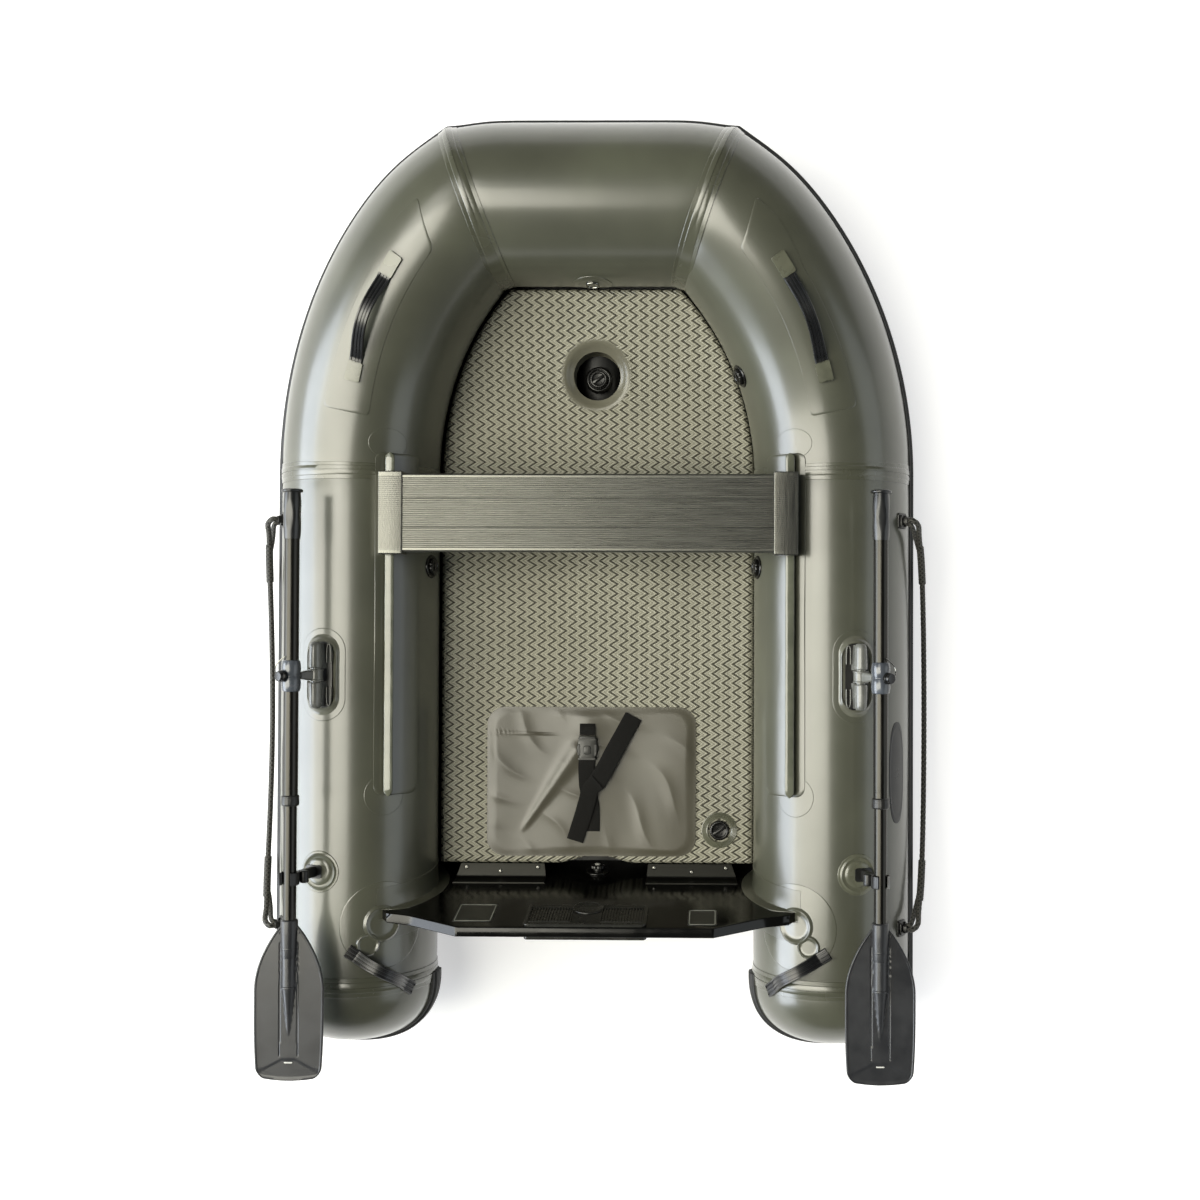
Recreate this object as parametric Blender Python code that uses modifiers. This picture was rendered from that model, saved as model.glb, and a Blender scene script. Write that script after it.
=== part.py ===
"""Inflatable boat: a two metre tender with an air deck, a sliding seat, a transom and two oars.

Metres, +Z up, +Y towards the bow, +X to starboard. The origin is on the ground, in the middle of
the boat's length and beam. Tubes, deck and keel are thin fabric shells and weigh what fabric does.
Paired pieces are modelled to starboard, and mirrored to port.
"""

import math

import bmesh
import bpy
import numpy as np
from mathutils import Matrix, Vector

# Hull tubes
TUBE_R = 0.170
TUBE_SPACING = 1.040
SIDE_LENGTH = 1.088
CROSS_SEAM_Y = 0.256
QUARTER_R = 0.750
QUARTER_TURN = math.radians(50.0)
BOW_RISE = 0.100
CONE_LENGTH = 0.142
CONE_BLUNTNESS = 2.5
TUBE_WALL = 0.0012
TUBE_SIDES = 40
QUARTER_SPANS = 6
CONE_RINGS = 5

# Clearances: between neighbours, at the bow's mitres, on a curved seat, between running pieces
GAP = 0.0003
MITRE_GAP = 0.0010
SEAT_GAP = 0.0005
RUNNING_GAP = 0.0003

# Shared trim: the bevel on moulded edges, and the angle over which an edge is drawn sharp
BEVEL = 0.002
SHARP_ANGLE = math.radians(35.0)
SEGMENTS = 20

# Bottom skin and keel tube
SKIN_EDGE_ANGLE = math.radians(240.0)
SKIN_DIP = 0.0150
SKIN_WALL = 0.0012
KEEL_WIDTH = 0.100
KEEL_HEIGHT = 0.051
KEEL_CENTRE_Z = 0.0335
KEEL_AFT_Y = -0.560
KEEL_FRONT_Y = 0.600
KEEL_NOSE = 0.7
RISE_STEP = 0.060

# Air deck
DECK_TOP_Z = 0.130
DECK_THICKNESS = 0.070
DECK_WALL = 0.0015
DECK_AFT_Y = -0.604
DECK_EDGE_GAP = 0.0050
DECK_NOTCH_HALF_WIDTH = 0.090
DECK_NOTCH_DEPTH = 0.018
DECK_HOLE_Y = 0.483
DECK_HOLE_R = 0.052

# Valves
DECK_VALVE_INSET = 0.245
DECK_VALVE_Y = -0.528
DECK_VALVE_R = 0.040
DECK_VALVE_HEIGHT = 0.006
VALVE_BARREL_R = 0.026
VALVE_BARREL_DEPTH = 0.040
VALVE_BARREL_WALL = 0.004
VALVE_FLOOR = 0.001
VALVE_CAP_R = 0.022
VALVE_RIM = 0.004
VALVE_CAP_HEIGHT = 0.008
FINGER_BAR = (0.034, 0.006)
KEEL_VALVE_R = 0.030
KEEL_VALVE_HEIGHT = 0.012
CHAMBER_VALVE_R = 0.026
CHAMBER_VALVE_HEIGHT = 0.010
SIDE_VALVE_ALONG = -0.200
BOW_VALVE_ALONG = 0.288
VALVE_SEAT_GAP = 0.0020
CHAMBER_VALVE_ANGLE = math.radians(165.0)

# Patch and strap that hold a tank on the deck
PATCH_INSET = (0.275, 0.298)
PATCH_Y = (-0.587, -0.254)
PATCH_CORNER_R = 0.040
PATCH_THICKNESS = 0.0015
STRAP_WIDTH = 0.042
STRAP_THICKNESS = 0.004
STRAP_X = -0.020
STRAP_Y = (-0.540, -0.290)
STRAP_TAIL_REACH = (0.085, -0.275)
STRAP_TAIL_FOOT_Y = (-0.430, -0.340)
STRAP_TAIL_END = (0.036, 0.012)
BUCKLE_SIZE = (0.050, 0.055, 0.014)
BUCKLE_Y = -0.345
BUCKLE_CLEAR = 0.0006

# Rub strake
STRAKE_HEIGHT = 0.065
STRAKE_CROWN = 0.034
STRAKE_THICKNESS = 0.010
STRAKE_EDGE = 0.003
STRAKE_SEAT_GAP = 0.0011

# Transom
TRANSOM_TOP_Z = 0.410
TRANSOM_TOP_Y = -0.687
TRANSOM_RAKE = math.radians(10.0)
TRANSOM_THICKNESS = 0.020
TRANSOM_CREST_INSET = 0.258
TRANSOM_EAR = ((0.149, 0.352), (0.099, 0.338))
TRANSOM_EAR_ANGLE = math.radians(120.0)
TRANSOM_FOOT_ANGLE = math.radians(236.0)
TRANSOM_CHINE_INSET = 0.110
PAD_HALF_WIDTH = 0.126
PAD_BELOW_CREST = 0.004
PAD_CORNER_R = 0.010
PAD_DEPTH_OUTER = 0.150
PAD_DEPTH_INNER = 0.110
PAD_THICKNESS_OUTER = 0.008
PAD_THICKNESS_INNER = 0.004

# Floor brackets and drain
BRACKET_INSET = (0.408, 0.204)
BRACKET_HEIGHT = 0.034
BRACKET_WALL = 0.003
DRAIN_Z = 0.085
DRAIN_HOLE_R = 0.016
DRAIN_FLANGE_R = 0.027
DRAIN_FLANGE = 0.004
DRAIN_BORE_R = 0.012
DRAIN_STANDOUT = 0.004
PLUG_LENGTH = 0.014
PLUG_HEAD_R = 0.017
PLUG_HEAD = 0.012
PLUG_SHAPE = ((0.0, 1.0), (0.55, 1.0), (0.70, 0.4), (1.0, 0.3), (1.0, 0.0))

# Seat and its rails
SEAT_CENTRE_Y = 0.1625
SEAT_DEPTH = 0.173
SEAT_TOP_Z = 0.370
PLANK_PAST_RAIL = 0.006
PLANK_DEPTH = 0.163
PLANK_THICKNESS = 0.028
PLANK_WALL = 0.0022
PLANK_CELLS = 3
PLANK_RIBS = 13
PLANK_RIB_DEPTH = 0.0008
PLANK_RIB_SHARE = 0.12
SLIDER_REACH = (-0.032, 0.018)
SLIDER_BOTTOM_Z = 0.3225
SLIDER_ROOF = 0.0035
RAIL_INSET = 0.102
RAIL_Y = (-0.431, 0.310)
RAIL_FLANGE_WIDTH = 0.100
RAIL_FLANGE = 0.0020
RAIL_WEB = 0.0035
RAIL_BEAD_R = 0.005
RAIL_BEAD_Z = 0.330
RAIL_GAP = 0.0010
RAIL_ROOT_TURN = 0.10
RAIL_ROOT_RISE = 0.001

# Oarlocks
OARLOCK_Y = -0.176
OARLOCK_LEAN = math.radians(13.4)
OARLOCK_AXIS_HEIGHT = 0.0284
OARLOCK_LENGTH = 0.134
OARLOCK_FOOT_WIDTH = 0.058
OARLOCK_FOOT = 0.007
OARLOCK_TUNNEL_R = 0.0195
OARLOCK_HAUNCH = 0.004
AXLE_R = 0.010
COLLAR_R = 0.0165
COLLAR_LENGTH = 0.024
COLLAR_SLOT = (0.080, 0.028, 0.048)
COLLAR_SLOT_RAISE = 0.006
PIN_R = 0.005
PIN_TILT = math.radians(55.0)
PIN_REACH = 0.0625
PIN_HOLE_LENGTH = 0.080

# Oars
SHAFT_R = 0.015
SHAFT_WALL = 0.0015
GRIP_END_Y = 0.2065
GRIP_LENGTH = 0.102
GRIP_R = 0.0175
GRIP_FLANGE_R = 0.0215
GRIP_FLANGE = 0.006
SLEEVE_LENGTH = 0.064
SLEEVE_R = 0.0195
CAP_R = 0.012
CAP_LENGTH = 0.014
CAP_BITE = 0.008
CAP_CROWN = (0.6, 0.5)
JOINT_RING_Y = -0.431
JOINT_RING_R = 0.018
JOINT_RING_LENGTH = 0.020
LOWER_SHAFT_R = 0.0132
LOWER_SHAFT_OVERLAP = 0.060
LOWER_SHAFT_SHORT = 0.006
BLADE_TIP_Y = -1.0005
BLADE_TOP_Y = -0.684
BLADE_SHOULDER = 0.134
BLADE_SHOULDER_POWER = 0.85
BLADE_HALF_WIDTH = 0.0715
BLADE_NECK_HALF_WIDTH = 0.016
BLADE_CORNER_R = 0.022
BLADE_THICKNESS = 0.006
NECK_TOP_Y = -0.672
NECK_R = 0.0172
NECK_LENGTH = 0.080
SPINE_END_Y = -0.928
SPINE_END_R = 0.004
SOCKET_CLEAR = 0.005

# Oar clips
CLIP_Y = -0.589
CLIP_WIDTH = 0.026
CLIP_WALL = 0.004
CLIP_MOUTH = math.radians(104.0)
CLIP_STEM = 0.012
CLIP_FOOT_WIDTH = 0.038
CLIP_FOOT = 0.004

# Handles: how far along the hull from the cross seam, and the angle round the tube
BOW_HANDLE_ALONG = (0.193, 0.444)
BOW_HANDLE_ANGLE = (math.radians(91.0), math.radians(89.0))
BOW_HANDLE_BULGE = math.radians(-2.0)
STERN_HANDLE_ALONG = (-1.014, -1.096)
STERN_HANDLE_ANGLE = (math.radians(98.0), math.radians(143.0))
HANDLE_FOOT = 0.20
HANDLE_FOOT_WIDTH = 0.036
HANDLE_WIDTH = 0.024
HANDLE_THICKNESS = 0.005
HANDLE_ARCH = 0.034
HANDLE_PROBE = 0.002

# Rope tabs and lifelines
TAB_ALONG = (-0.1015, -0.971)
TAB_ANGLE = math.radians(32.6)
TAB_SIZE = 0.034
TAB_THICKNESS = 0.003
LUG_SIZE = 0.014
LUG_HEIGHT = 0.014
ROPE_D = 0.012
ROPE_STEP = 0.030
ROPE_LEAD = 0.0095
ROPE_SAG = 0.150
ROPE_SAG_POWER = 0.9
ROPE_OFF = 0.012
ROPE_STANDOFF = 0.042
ROPE_STANDOFF_POWER = 0.6
ROPE_SHARES = (0.04, 0.10, 0.18, 0.28, 0.39, 0.50, 0.61, 0.72, 0.82, 0.90, 0.96)

# Colours as sRGB, with roughness and metallic
FINISHES = {
    "olive_hull_fabric": ("#66675a", 0.42, 0.0),
    "olive_deck_fabric": ("#6c6a55", 0.50, 0.0),
    "black_rubber": ("#1b1c1d", 0.60, 0.0),
    "black_plastic": ("#1d1e20", 0.42, 0.0),
    "grey_plastic": ("#7d7f80", 0.45, 0.0),
    "black_plywood": ("#17181a", 0.35, 0.0),
    "grey_aluminium": ("#74777a", 0.38, 1.0),
    "dark_aluminium": ("#4a4c4b", 0.36, 1.0),
    "black_aluminium": ("#26282a", 0.34, 1.0),
    "black_webbing": ("#161718", 0.80, 0.0),
    "black_rope": ("#131415", 0.78, 0.0),
}

HALF_SPACING = TUBE_SPACING / 2
QUARTER_LENGTH = QUARTER_R * QUARTER_TURN
BOW_HALF = HALF_SPACING - QUARTER_R * (1.0 - math.cos(QUARTER_TURN))
BOW_Y = CROSS_SEAM_Y + QUARTER_R * math.sin(QUARTER_TURN)
CONE_SEAM_Y = CROSS_SEAM_Y - SIDE_LENGTH
MITRE = (math.pi / 2 - QUARTER_TURN) / 2
RAIL_X = HALF_SPACING - RAIL_INSET
PLANK_HALF_LENGTH = RAIL_X + PLANK_PAST_RAIL
DECK_VALVE_X = HALF_SPACING - DECK_VALVE_INSET
PATCH_X = (PATCH_INSET[0] - HALF_SPACING, HALF_SPACING - PATCH_INSET[1])
OUTBOARD, UPWARD = 0.0, math.pi / 2


def clear_scene():
    """Remove what the file starts with, and make one collection for the boat and one for cutters."""
    for thing in list(bpy.data.objects):
        bpy.data.objects.remove(thing, do_unlink=True)
    collections = {}
    for name in ("inflatable_boat", "cutters"):
        collections[name] = bpy.data.collections.new(name)
        bpy.context.scene.collection.children.link(collections[name])
    return collections


COLLECTIONS = clear_scene()


def srgb_to_linear(hex_colour):
    """An sRGB hex colour as linear red, green, blue and alpha."""
    channels = [int(hex_colour[i:i + 2], 16) / 255 for i in (1, 3, 5)]
    linear = [c / 12.92 if c <= 0.04045 else ((c + 0.055) / 1.055) ** 2.4 for c in channels]
    return (*linear, 1.0)


def own_material(name, finish):
    """A Principled material for one piece, in one of the boat's finishes."""
    colour, roughness, metallic = FINISHES[finish]
    material = bpy.data.materials.new(name)
    material.use_nodes = True
    shader = material.node_tree.nodes["Principled BSDF"]
    shader.inputs["Base Color"].default_value = srgb_to_linear(colour)
    shader.inputs["Roughness"].default_value = roughness
    shader.inputs["Metallic"].default_value = metallic
    return material


def add_piece(name, mesh, finish, matrix=None):
    """Put a mesh in the boat's collection as a named piece with its own material."""
    piece = bpy.data.objects.new(name, mesh)
    piece["finish"] = finish
    mesh.materials.clear()
    mesh.materials.append(own_material(name, finish))
    if matrix is not None:
        piece.matrix_world = matrix
    COLLECTIONS["inflatable_boat"].objects.link(piece)
    return piece


def frame_matrix(origin, x_axis, y_axis, z_axis):
    """The matrix that takes local axes to these three vectors at an origin."""
    matrix = Matrix.Identity(4)
    for column, vector in enumerate((x_axis, y_axis, z_axis, origin)):
        for row in range(3):
            matrix[row][column] = vector[row]
    return matrix


def along_y(x=0.0, y=0.0, z=0.0):
    """Local X, Y and Z become world X, Z and -Y: a drawn section is extruded fore and aft."""
    return frame_matrix((x, y, z), (1, 0, 0), (0, 0, 1), (0, -1, 0))


def along_x(x=0.0, y=0.0, z=0.0):
    """Local X, Y and Z become world Y, Z and X: a drawn section is extruded across the boat."""
    return frame_matrix((x, y, z), (0, 1, 0), (0, 0, 1), (1, 0, 0))


def turned_to(origin, direction):
    """Local Z points along a direction from an origin."""
    return Matrix.Translation(origin) @ Vector(direction).to_track_quat("Z", "Y").to_matrix().to_4x4()


def evaluated_mesh(thing):
    """A copy of an object's mesh with its modifiers applied."""
    bpy.context.view_layer.update()
    graph = bpy.context.evaluated_depsgraph_get()
    return bpy.data.meshes.new_from_object(thing.evaluated_get(graph), depsgraph=graph)


def mesh_from(builder, weld=1e-6):
    """Close and turn outwards what a bmesh holds, and give its mesh."""
    bmesh.ops.remove_doubles(builder, verts=builder.verts, dist=weld)
    bmesh.ops.recalc_face_normals(builder, faces=builder.faces)
    mesh = bpy.data.meshes.new("piece")
    builder.to_mesh(mesh)
    builder.free()
    mesh.shade_smooth()
    mesh.set_sharp_from_angle(angle=SHARP_ANGLE)
    return mesh


def loft(rings, closed=True, cap_first=False, cap_last=False, tip=None):
    """A mesh through rings of points of equal count: a skin, capped or drawn to a tip if asked."""
    builder = bmesh.new()
    rows = [[builder.verts.new(point) for point in ring] for ring in rings]
    count = len(rings[0])
    spans = count if closed else count - 1
    for row, following in zip(rows, rows[1:]):
        for i in range(spans):
            j = (i + 1) % count
            builder.faces.new((row[i], row[j], following[j], following[i]))
    if cap_first:
        builder.faces.new(rows[0])
    if cap_last:
        builder.faces.new(rows[-1])
    if tip is not None:
        point = builder.verts.new(tip)
        for i in range(spans):
            builder.faces.new((rows[-1][i], rows[-1][(i + 1) % count], point))
    return mesh_from(builder)


def give_wall(piece, thickness, offset=-1.0):
    """Turn an open skin into a wall of fabric, inwards from its outer face."""
    wall = piece.modifiers.new("wall", "SOLIDIFY")
    wall.thickness = thickness
    wall.offset = offset
    wall.use_even_offset = True
    return piece


def plate_mesh(outlines, thickness, matrix):
    """A flat outline, with any holes after it, extruded to a thickness and placed by a matrix."""
    data = bpy.data.curves.new("outline", "CURVE")
    data.dimensions = "2D"
    data.fill_mode = "BOTH"
    data.extrude = thickness / 2
    for outline in outlines:
        spline = data.splines.new("POLY")
        spline.points.add(len(outline) - 1)
        for point, (x, y) in zip(spline.points, outline):
            point.co = (x, y, 0.0, 1.0)
        spline.use_cyclic_u = True
    guide = bpy.data.objects.new("outline", data)
    bpy.context.scene.collection.objects.link(guide)
    mesh = evaluated_mesh(guide)
    bpy.data.objects.remove(guide, do_unlink=True)
    bpy.data.curves.remove(data)
    mesh.transform(matrix)
    builder = bmesh.new()
    builder.from_mesh(mesh)
    bpy.data.meshes.remove(mesh)
    return mesh_from(builder)


def arc(centre, radius, start, end, count):
    """Points round an arc, both ends included."""
    return [(centre[0] + radius * math.cos(a), centre[1] + radius * math.sin(a))
            for a in np.linspace(start, end, count)]


def circle(centre, radius, count=SEGMENTS):
    """Points round a circle."""
    return arc(centre, radius, 0.0, 2 * math.pi * (count - 1) / count, count)


def rounded_rectangle(x_range, y_range, radius, count=6):
    """A rectangle with round corners."""
    corners = ((1, 1, 0.0), (0, 1, 0.5), (0, 0, 1.0), (1, 0, 1.5))
    points = []
    for i, j, turn in corners:
        centre = (x_range[i] + radius * (1 - 2 * i), y_range[j] + radius * (1 - 2 * j))
        points += arc(centre, radius, turn * math.pi, (turn + 0.5) * math.pi, count)
    return points


def turned(name, profile, finish, matrix, closed=False, steps=SEGMENTS):
    """A turned piece from a profile of radius and height, listed down its outer side."""
    mesh = bpy.data.meshes.new(name)
    edges = [(i, i + 1) for i in range(len(profile) - 1)]
    if closed:
        edges.append((len(profile) - 1, 0))
    mesh.from_pydata([(radius, 0.0, height) for radius, height in profile], edges, [])
    piece = add_piece(name, mesh, finish, matrix)
    screw = piece.modifiers.new("turn", "SCREW")
    screw.steps = screw.render_steps = steps
    screw.use_merge_vertices = True
    screw.merge_threshold = 1e-6
    return piece


def boolean(piece, other, operation):
    """Join another solid to a piece, or cut it away, and keep the other as a hidden guide."""
    for collection in list(other.users_collection):
        collection.objects.unlink(other)
    COLLECTIONS["cutters"].objects.link(other)
    other.hide_render = True
    other.display_type = "WIRE"
    modifier = piece.modifiers.new(operation.lower(), "BOOLEAN")
    modifier.operation = operation
    modifier.object = other
    return piece


def cylinder_cutter(name, radius, length, matrix):
    """A plain cylinder, centred on its matrix, along its Z axis."""
    builder = bmesh.new()
    bmesh.ops.create_cone(builder, cap_ends=True, segments=SEGMENTS, radius1=radius, radius2=radius,
                          depth=length)
    return add_piece(name, mesh_from(builder), "black_plastic", matrix)


def box_cutter(name, centre, size, rotation=None):
    """A plain box."""
    builder = bmesh.new()
    bmesh.ops.create_cube(builder, size=1.0)
    bmesh.ops.scale(builder, vec=size, verts=builder.verts)
    matrix = Matrix.Translation(centre) @ (rotation or Matrix.Identity(4))
    return add_piece(name, mesh_from(builder), "black_plastic", matrix)


def port_twin(piece):
    """The same piece mirrored to port, as a mesh of its own."""
    mesh = evaluated_mesh(piece)
    mesh.transform(Matrix.Diagonal((-1.0, 1.0, 1.0, 1.0)) @ piece.matrix_world)
    mesh.flip_normals()
    return add_piece(piece.name.replace("starboard_", "port_"), mesh, piece["finish"])


def bow_rise(turn):
    """How far the bow has lifted the tube after a turn, easing in and out, and how steeply."""
    share = turn / QUARTER_TURN
    rise = BOW_RISE * share ** 2 * (3.0 - 2.0 * share)
    return rise, BOW_RISE * 6.0 * share * (1.0 - share) / QUARTER_LENGTH


def hull_station(along):
    """Centre, direction, outboard and up of the starboard tube, a way past its cross seam."""
    turn = min(max(along, 0.0), QUARTER_LENGTH) / QUARTER_R
    outboard = Vector((math.cos(turn), math.sin(turn), 0.0))
    rise, slope = bow_rise(turn)
    centre = Vector((HALF_SPACING - QUARTER_R, CROSS_SEAM_Y, TUBE_R + rise)) + outboard * QUARTER_R
    direction = Vector((-math.sin(turn), math.cos(turn), slope)).normalized()
    if along < 0.0:
        centre.y += along
    if along > QUARTER_LENGTH:
        direction, outboard = Vector((-1.0, 0.0, 0.0)), Vector((0.0, 1.0, 0.0))
        centre.x -= along - QUARTER_LENGTH
    return centre, direction, outboard, outboard.cross(direction)


def hull_point(along, angle, lift=0.0):
    """A point on the starboard tube: angle 0 is outboard, a quarter turn is the top."""
    centre, _, outboard, up = hull_station(along)
    return centre + (outboard * math.cos(angle) + up * math.sin(angle)) * (TUBE_R + lift)


def ring_angles():
    """The angles of a hull ring's points."""
    return [2 * math.pi * i / TUBE_SIDES for i in range(TUBE_SIDES)]


def hull_ring(along):
    """A ring of points round the starboard tube."""
    return [hull_point(along, angle) for angle in ring_angles()]


def mitre_ring(along, setback):
    """The ring where quarter and bow tube meet, slid along one tube's own direction to the mitre."""
    corner = hull_station(QUARTER_LENGTH)
    bow_direction = Vector((-1.0, 0.0, 0.0))
    plane = (corner[1] + bow_direction).normalized()
    _, direction, _, _ = hull_station(along)
    ring = []
    for angle in ring_angles():
        point = hull_point(along, angle)
        slide = plane.dot(corner[0] - point) / plane.dot(direction)
        ring.append(point + direction * (slide - setback))
    return ring


def make_tubes():
    """Side, quarter and bow tubes as sleeves; each quarter's aft end is closed by its baffle."""
    half_gap = GAP / 2
    side = loft([hull_ring(-SIDE_LENGTH + half_gap), hull_ring(-half_gap)])
    give_wall(add_piece("starboard_side_tube", side, "olive_hull_fabric"), TUBE_WALL)
    stations = [half_gap + (QUARTER_LENGTH - half_gap) * i / QUARTER_SPANS for i in range(QUARTER_SPANS)]
    rings = [hull_ring(along) for along in stations] + [mitre_ring(QUARTER_LENGTH, MITRE_GAP / 2)]
    quarter = loft(rings, cap_first=True)
    give_wall(add_piece("starboard_quarter_tube", quarter, "olive_hull_fabric"), TUBE_WALL)
    ring = mitre_ring(QUARTER_LENGTH + BOW_HALF, -MITRE_GAP / 2)
    bow = loft([ring, [Vector((-p.x, p.y, p.z)) for p in ring]])
    give_wall(add_piece("bow_tube", bow, "olive_hull_fabric"), TUBE_WALL)


def cone_profile(turn):
    """Radius and length aft of the cone's seam, at a turn from 0 at the seam to a quarter at the tip."""
    power = 2.0 / CONE_BLUNTNESS
    return TUBE_R * math.cos(turn) ** power, CONE_LENGTH * math.sin(turn) ** power


def make_stern_cone():
    """The blunt round end of a side tube."""
    rings = []
    for i in range(CONE_RINGS):
        radius, aft = cone_profile(math.pi / 2 * i / CONE_RINGS)
        y = CONE_SEAM_Y - GAP / 2 - aft
        rings.append([Vector((HALF_SPACING + radius * math.cos(a), y, TUBE_R + radius * math.sin(a)))
                      for a in ring_angles()])
    tip = Vector((HALF_SPACING, CONE_SEAM_Y - GAP / 2 - CONE_LENGTH, TUBE_R))
    give_wall(add_piece("starboard_stern_cone", loft(rings, tip=tip), "olive_hull_fabric"), TUBE_WALL)


def floor_turn(y):
    """The quarter's turn at which the bottom skin's edge is at a place along the boat."""
    inset = -TUBE_R * math.cos(SKIN_EDGE_ANGLE)
    share = (y - CROSS_SEAM_Y) / (QUARTER_R - inset)
    return math.asin(min(max(share, 0.0), math.sin(QUARTER_TURN)))


def floor_rise(y):
    """How far the bow lifts the bottom and the deck at a place along the boat."""
    return bow_rise(floor_turn(y))[0]


def rise_rows(front):
    """Places along the boat, up to a front, where everything that the bow lifts bends alike."""
    return list(np.arange(CROSS_SEAM_Y, front - RISE_STEP / 4, RISE_STEP))


def skin_height(edge, share):
    """The bottom skin's height at a share of the way from the middle to its edge."""
    return edge.z - SKIN_DIP * (1.0 - abs(share))


def make_bottom_skin():
    """The fabric under the boat, from tube to tube, lowest along the middle."""
    lift = SEAT_GAP + SKIN_WALL
    aft = transom_face_y(0.0) - TRANSOM_THICKNESS
    bow_edge = hull_point(QUARTER_LENGTH + BOW_HALF, SKIN_EDGE_ANGLE, lift)
    bow_edge.x = BOW_HALF - (BOW_Y - bow_edge.y) * math.tan(MITRE)
    steps = [aft - CROSS_SEAM_Y]
    steps += [QUARTER_R * floor_turn(y) for y in rise_rows(bow_edge.y)]
    edges = [hull_point(along, SKIN_EDGE_ANGLE, lift) for along in steps] + [bow_edge]
    rows = []
    for edge in edges:
        row = []
        for share in np.linspace(-1.0, 1.0, 9):
            row.append(Vector((edge.x * share, edge.y, skin_height(edge, share))))
        rows.append(row)
    skin = add_piece("bottom_skin", loft(rows, closed=False), "black_rubber")
    give_wall(skin, SKIN_WALL, offset=0.0)


def make_keel_tube():
    """The flattened air tube between skin and deck, open aft, where its pump end is tied."""
    rings = []
    for y in [KEEL_AFT_Y] + rise_rows(KEEL_FRONT_Y) + [KEEL_FRONT_Y]:
        shrink = 1.0 if y < KEEL_FRONT_Y else KEEL_NOSE
        centre_z = KEEL_CENTRE_Z + floor_rise(y)
        rings.append([Vector((KEEL_WIDTH / 2 * shrink * math.cos(a), y,
                              centre_z + KEEL_HEIGHT / 2 * shrink * math.sin(a)))
                      for a in np.linspace(0, 2 * math.pi, 20, endpoint=False)])
    keel = add_piece("keel_tube", loft(rings, cap_last=True), "black_rubber")
    give_wall(keel, TUBE_WALL)


def deck_edge(along):
    """The deck's edge beside a place on the starboard tube, where the deck's top meets the tube."""
    centre, _, outboard, _ = hull_station(along)
    inset = TUBE_R
    for _ in range(6):
        y = centre.y - outboard.y * inset
        below = centre.z - DECK_TOP_Z - floor_rise(y)
        inset = math.sqrt(TUBE_R ** 2 - below ** 2) + DECK_EDGE_GAP
    return centre.x - outboard.x * inset, centre.y - outboard.y * inset


def deck_outline():
    """The deck in plan: along the tubes, across under the bow, and a shallow notch at the drain."""
    half = [(deck_edge(-1.0)[0], DECK_AFT_Y)]
    half += [deck_edge(QUARTER_LENGTH * i / QUARTER_SPANS) for i in range(QUARTER_SPANS)]
    front_y = deck_edge(QUARTER_LENGTH + BOW_HALF)[1]
    half.append((BOW_HALF - (BOW_Y - front_y) * math.tan(MITRE), front_y))
    notch = []
    for x in np.linspace(-DECK_NOTCH_HALF_WIDTH, DECK_NOTCH_HALF_WIDTH, 9):
        wave = math.cos(math.pi * x / (2 * DECK_NOTCH_HALF_WIDTH)) ** 2
        notch.append((x, DECK_AFT_Y + DECK_NOTCH_DEPTH * wave))
    return half + [(-x, y) for x, y in reversed(half)] + notch


def make_air_deck():
    """The drop-stitch deck: a stiff hollow mat that the bow lifts, with a hole over the keel valve."""
    outlines = [deck_outline(), circle((0.0, DECK_HOLE_Y), DECK_HOLE_R)]
    middle = Matrix.Translation((0.0, 0.0, DECK_TOP_Z - DECK_THICKNESS / 2))
    mesh = plate_mesh(outlines, DECK_THICKNESS, middle)
    builder = bmesh.new()
    builder.from_mesh(mesh)
    front = max(vertex.co.y for vertex in builder.verts)
    for y in rise_rows(front):
        faces = builder.verts[:] + builder.edges[:] + builder.faces[:]
        bmesh.ops.bisect_plane(builder, geom=faces, plane_co=(0, y, 0), plane_no=(0, 1, 0))
    for vertex in builder.verts:
        vertex.co.z += floor_rise(vertex.co.y)
    bmesh.ops.triangulate(builder, faces=builder.faces)
    deck = add_piece("air_deck", mesh_from(builder), "olive_deck_fabric")
    give_wall(deck, DECK_WALL)
    hole = cylinder_cutter("deck_valve_hole", VALVE_BARREL_R + GAP, DECK_THICKNESS,
                           Matrix.Translation((DECK_VALVE_X, DECK_VALVE_Y, DECK_TOP_Z)))
    boolean(deck, hole, "DIFFERENCE")


def valve_body(name, radius, height, depth, barrel, matrix):
    """A round valve: a rim, a well for its cap, and a barrel below if it has one."""
    well = height - VALVE_RIM
    profile = [(0.0, well), (VALVE_CAP_R + GAP, well), (VALVE_CAP_R + GAP, height),
               (radius - VALVE_RIM / 2, height), (radius, 0.0)]
    if barrel:
        bore = barrel - VALVE_BARREL_WALL
        profile += [(barrel, 0.0), (barrel, -depth), (bore, -depth), (bore, -VALVE_FLOOR),
                    (0.0, -VALVE_FLOOR)]
    else:
        profile += [(0.0, 0.0)]
    return turned(name, profile, "black_plastic", matrix)


def valve_cap(name, height, matrix):
    """A valve's cap: a disc in the well with a finger bar across it."""
    disc = VALVE_CAP_HEIGHT - VALVE_RIM
    profile = [(0.0, disc), (VALVE_CAP_R - BEVEL, disc), (VALVE_CAP_R, 0.0), (0.0, 0.0)]
    seat = matrix @ Matrix.Translation((0.0, 0.0, height - VALVE_RIM + GAP))
    cap = turned(name, profile, "black_plastic", seat)
    bar = box_cutter(name + "_bar", seat @ Vector((0.0, 0.0, (disc + VALVE_CAP_HEIGHT) / 2)),
                     (*FINGER_BAR, VALVE_CAP_HEIGHT - disc / 2))
    return boolean(cap, bar, "UNION")


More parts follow.
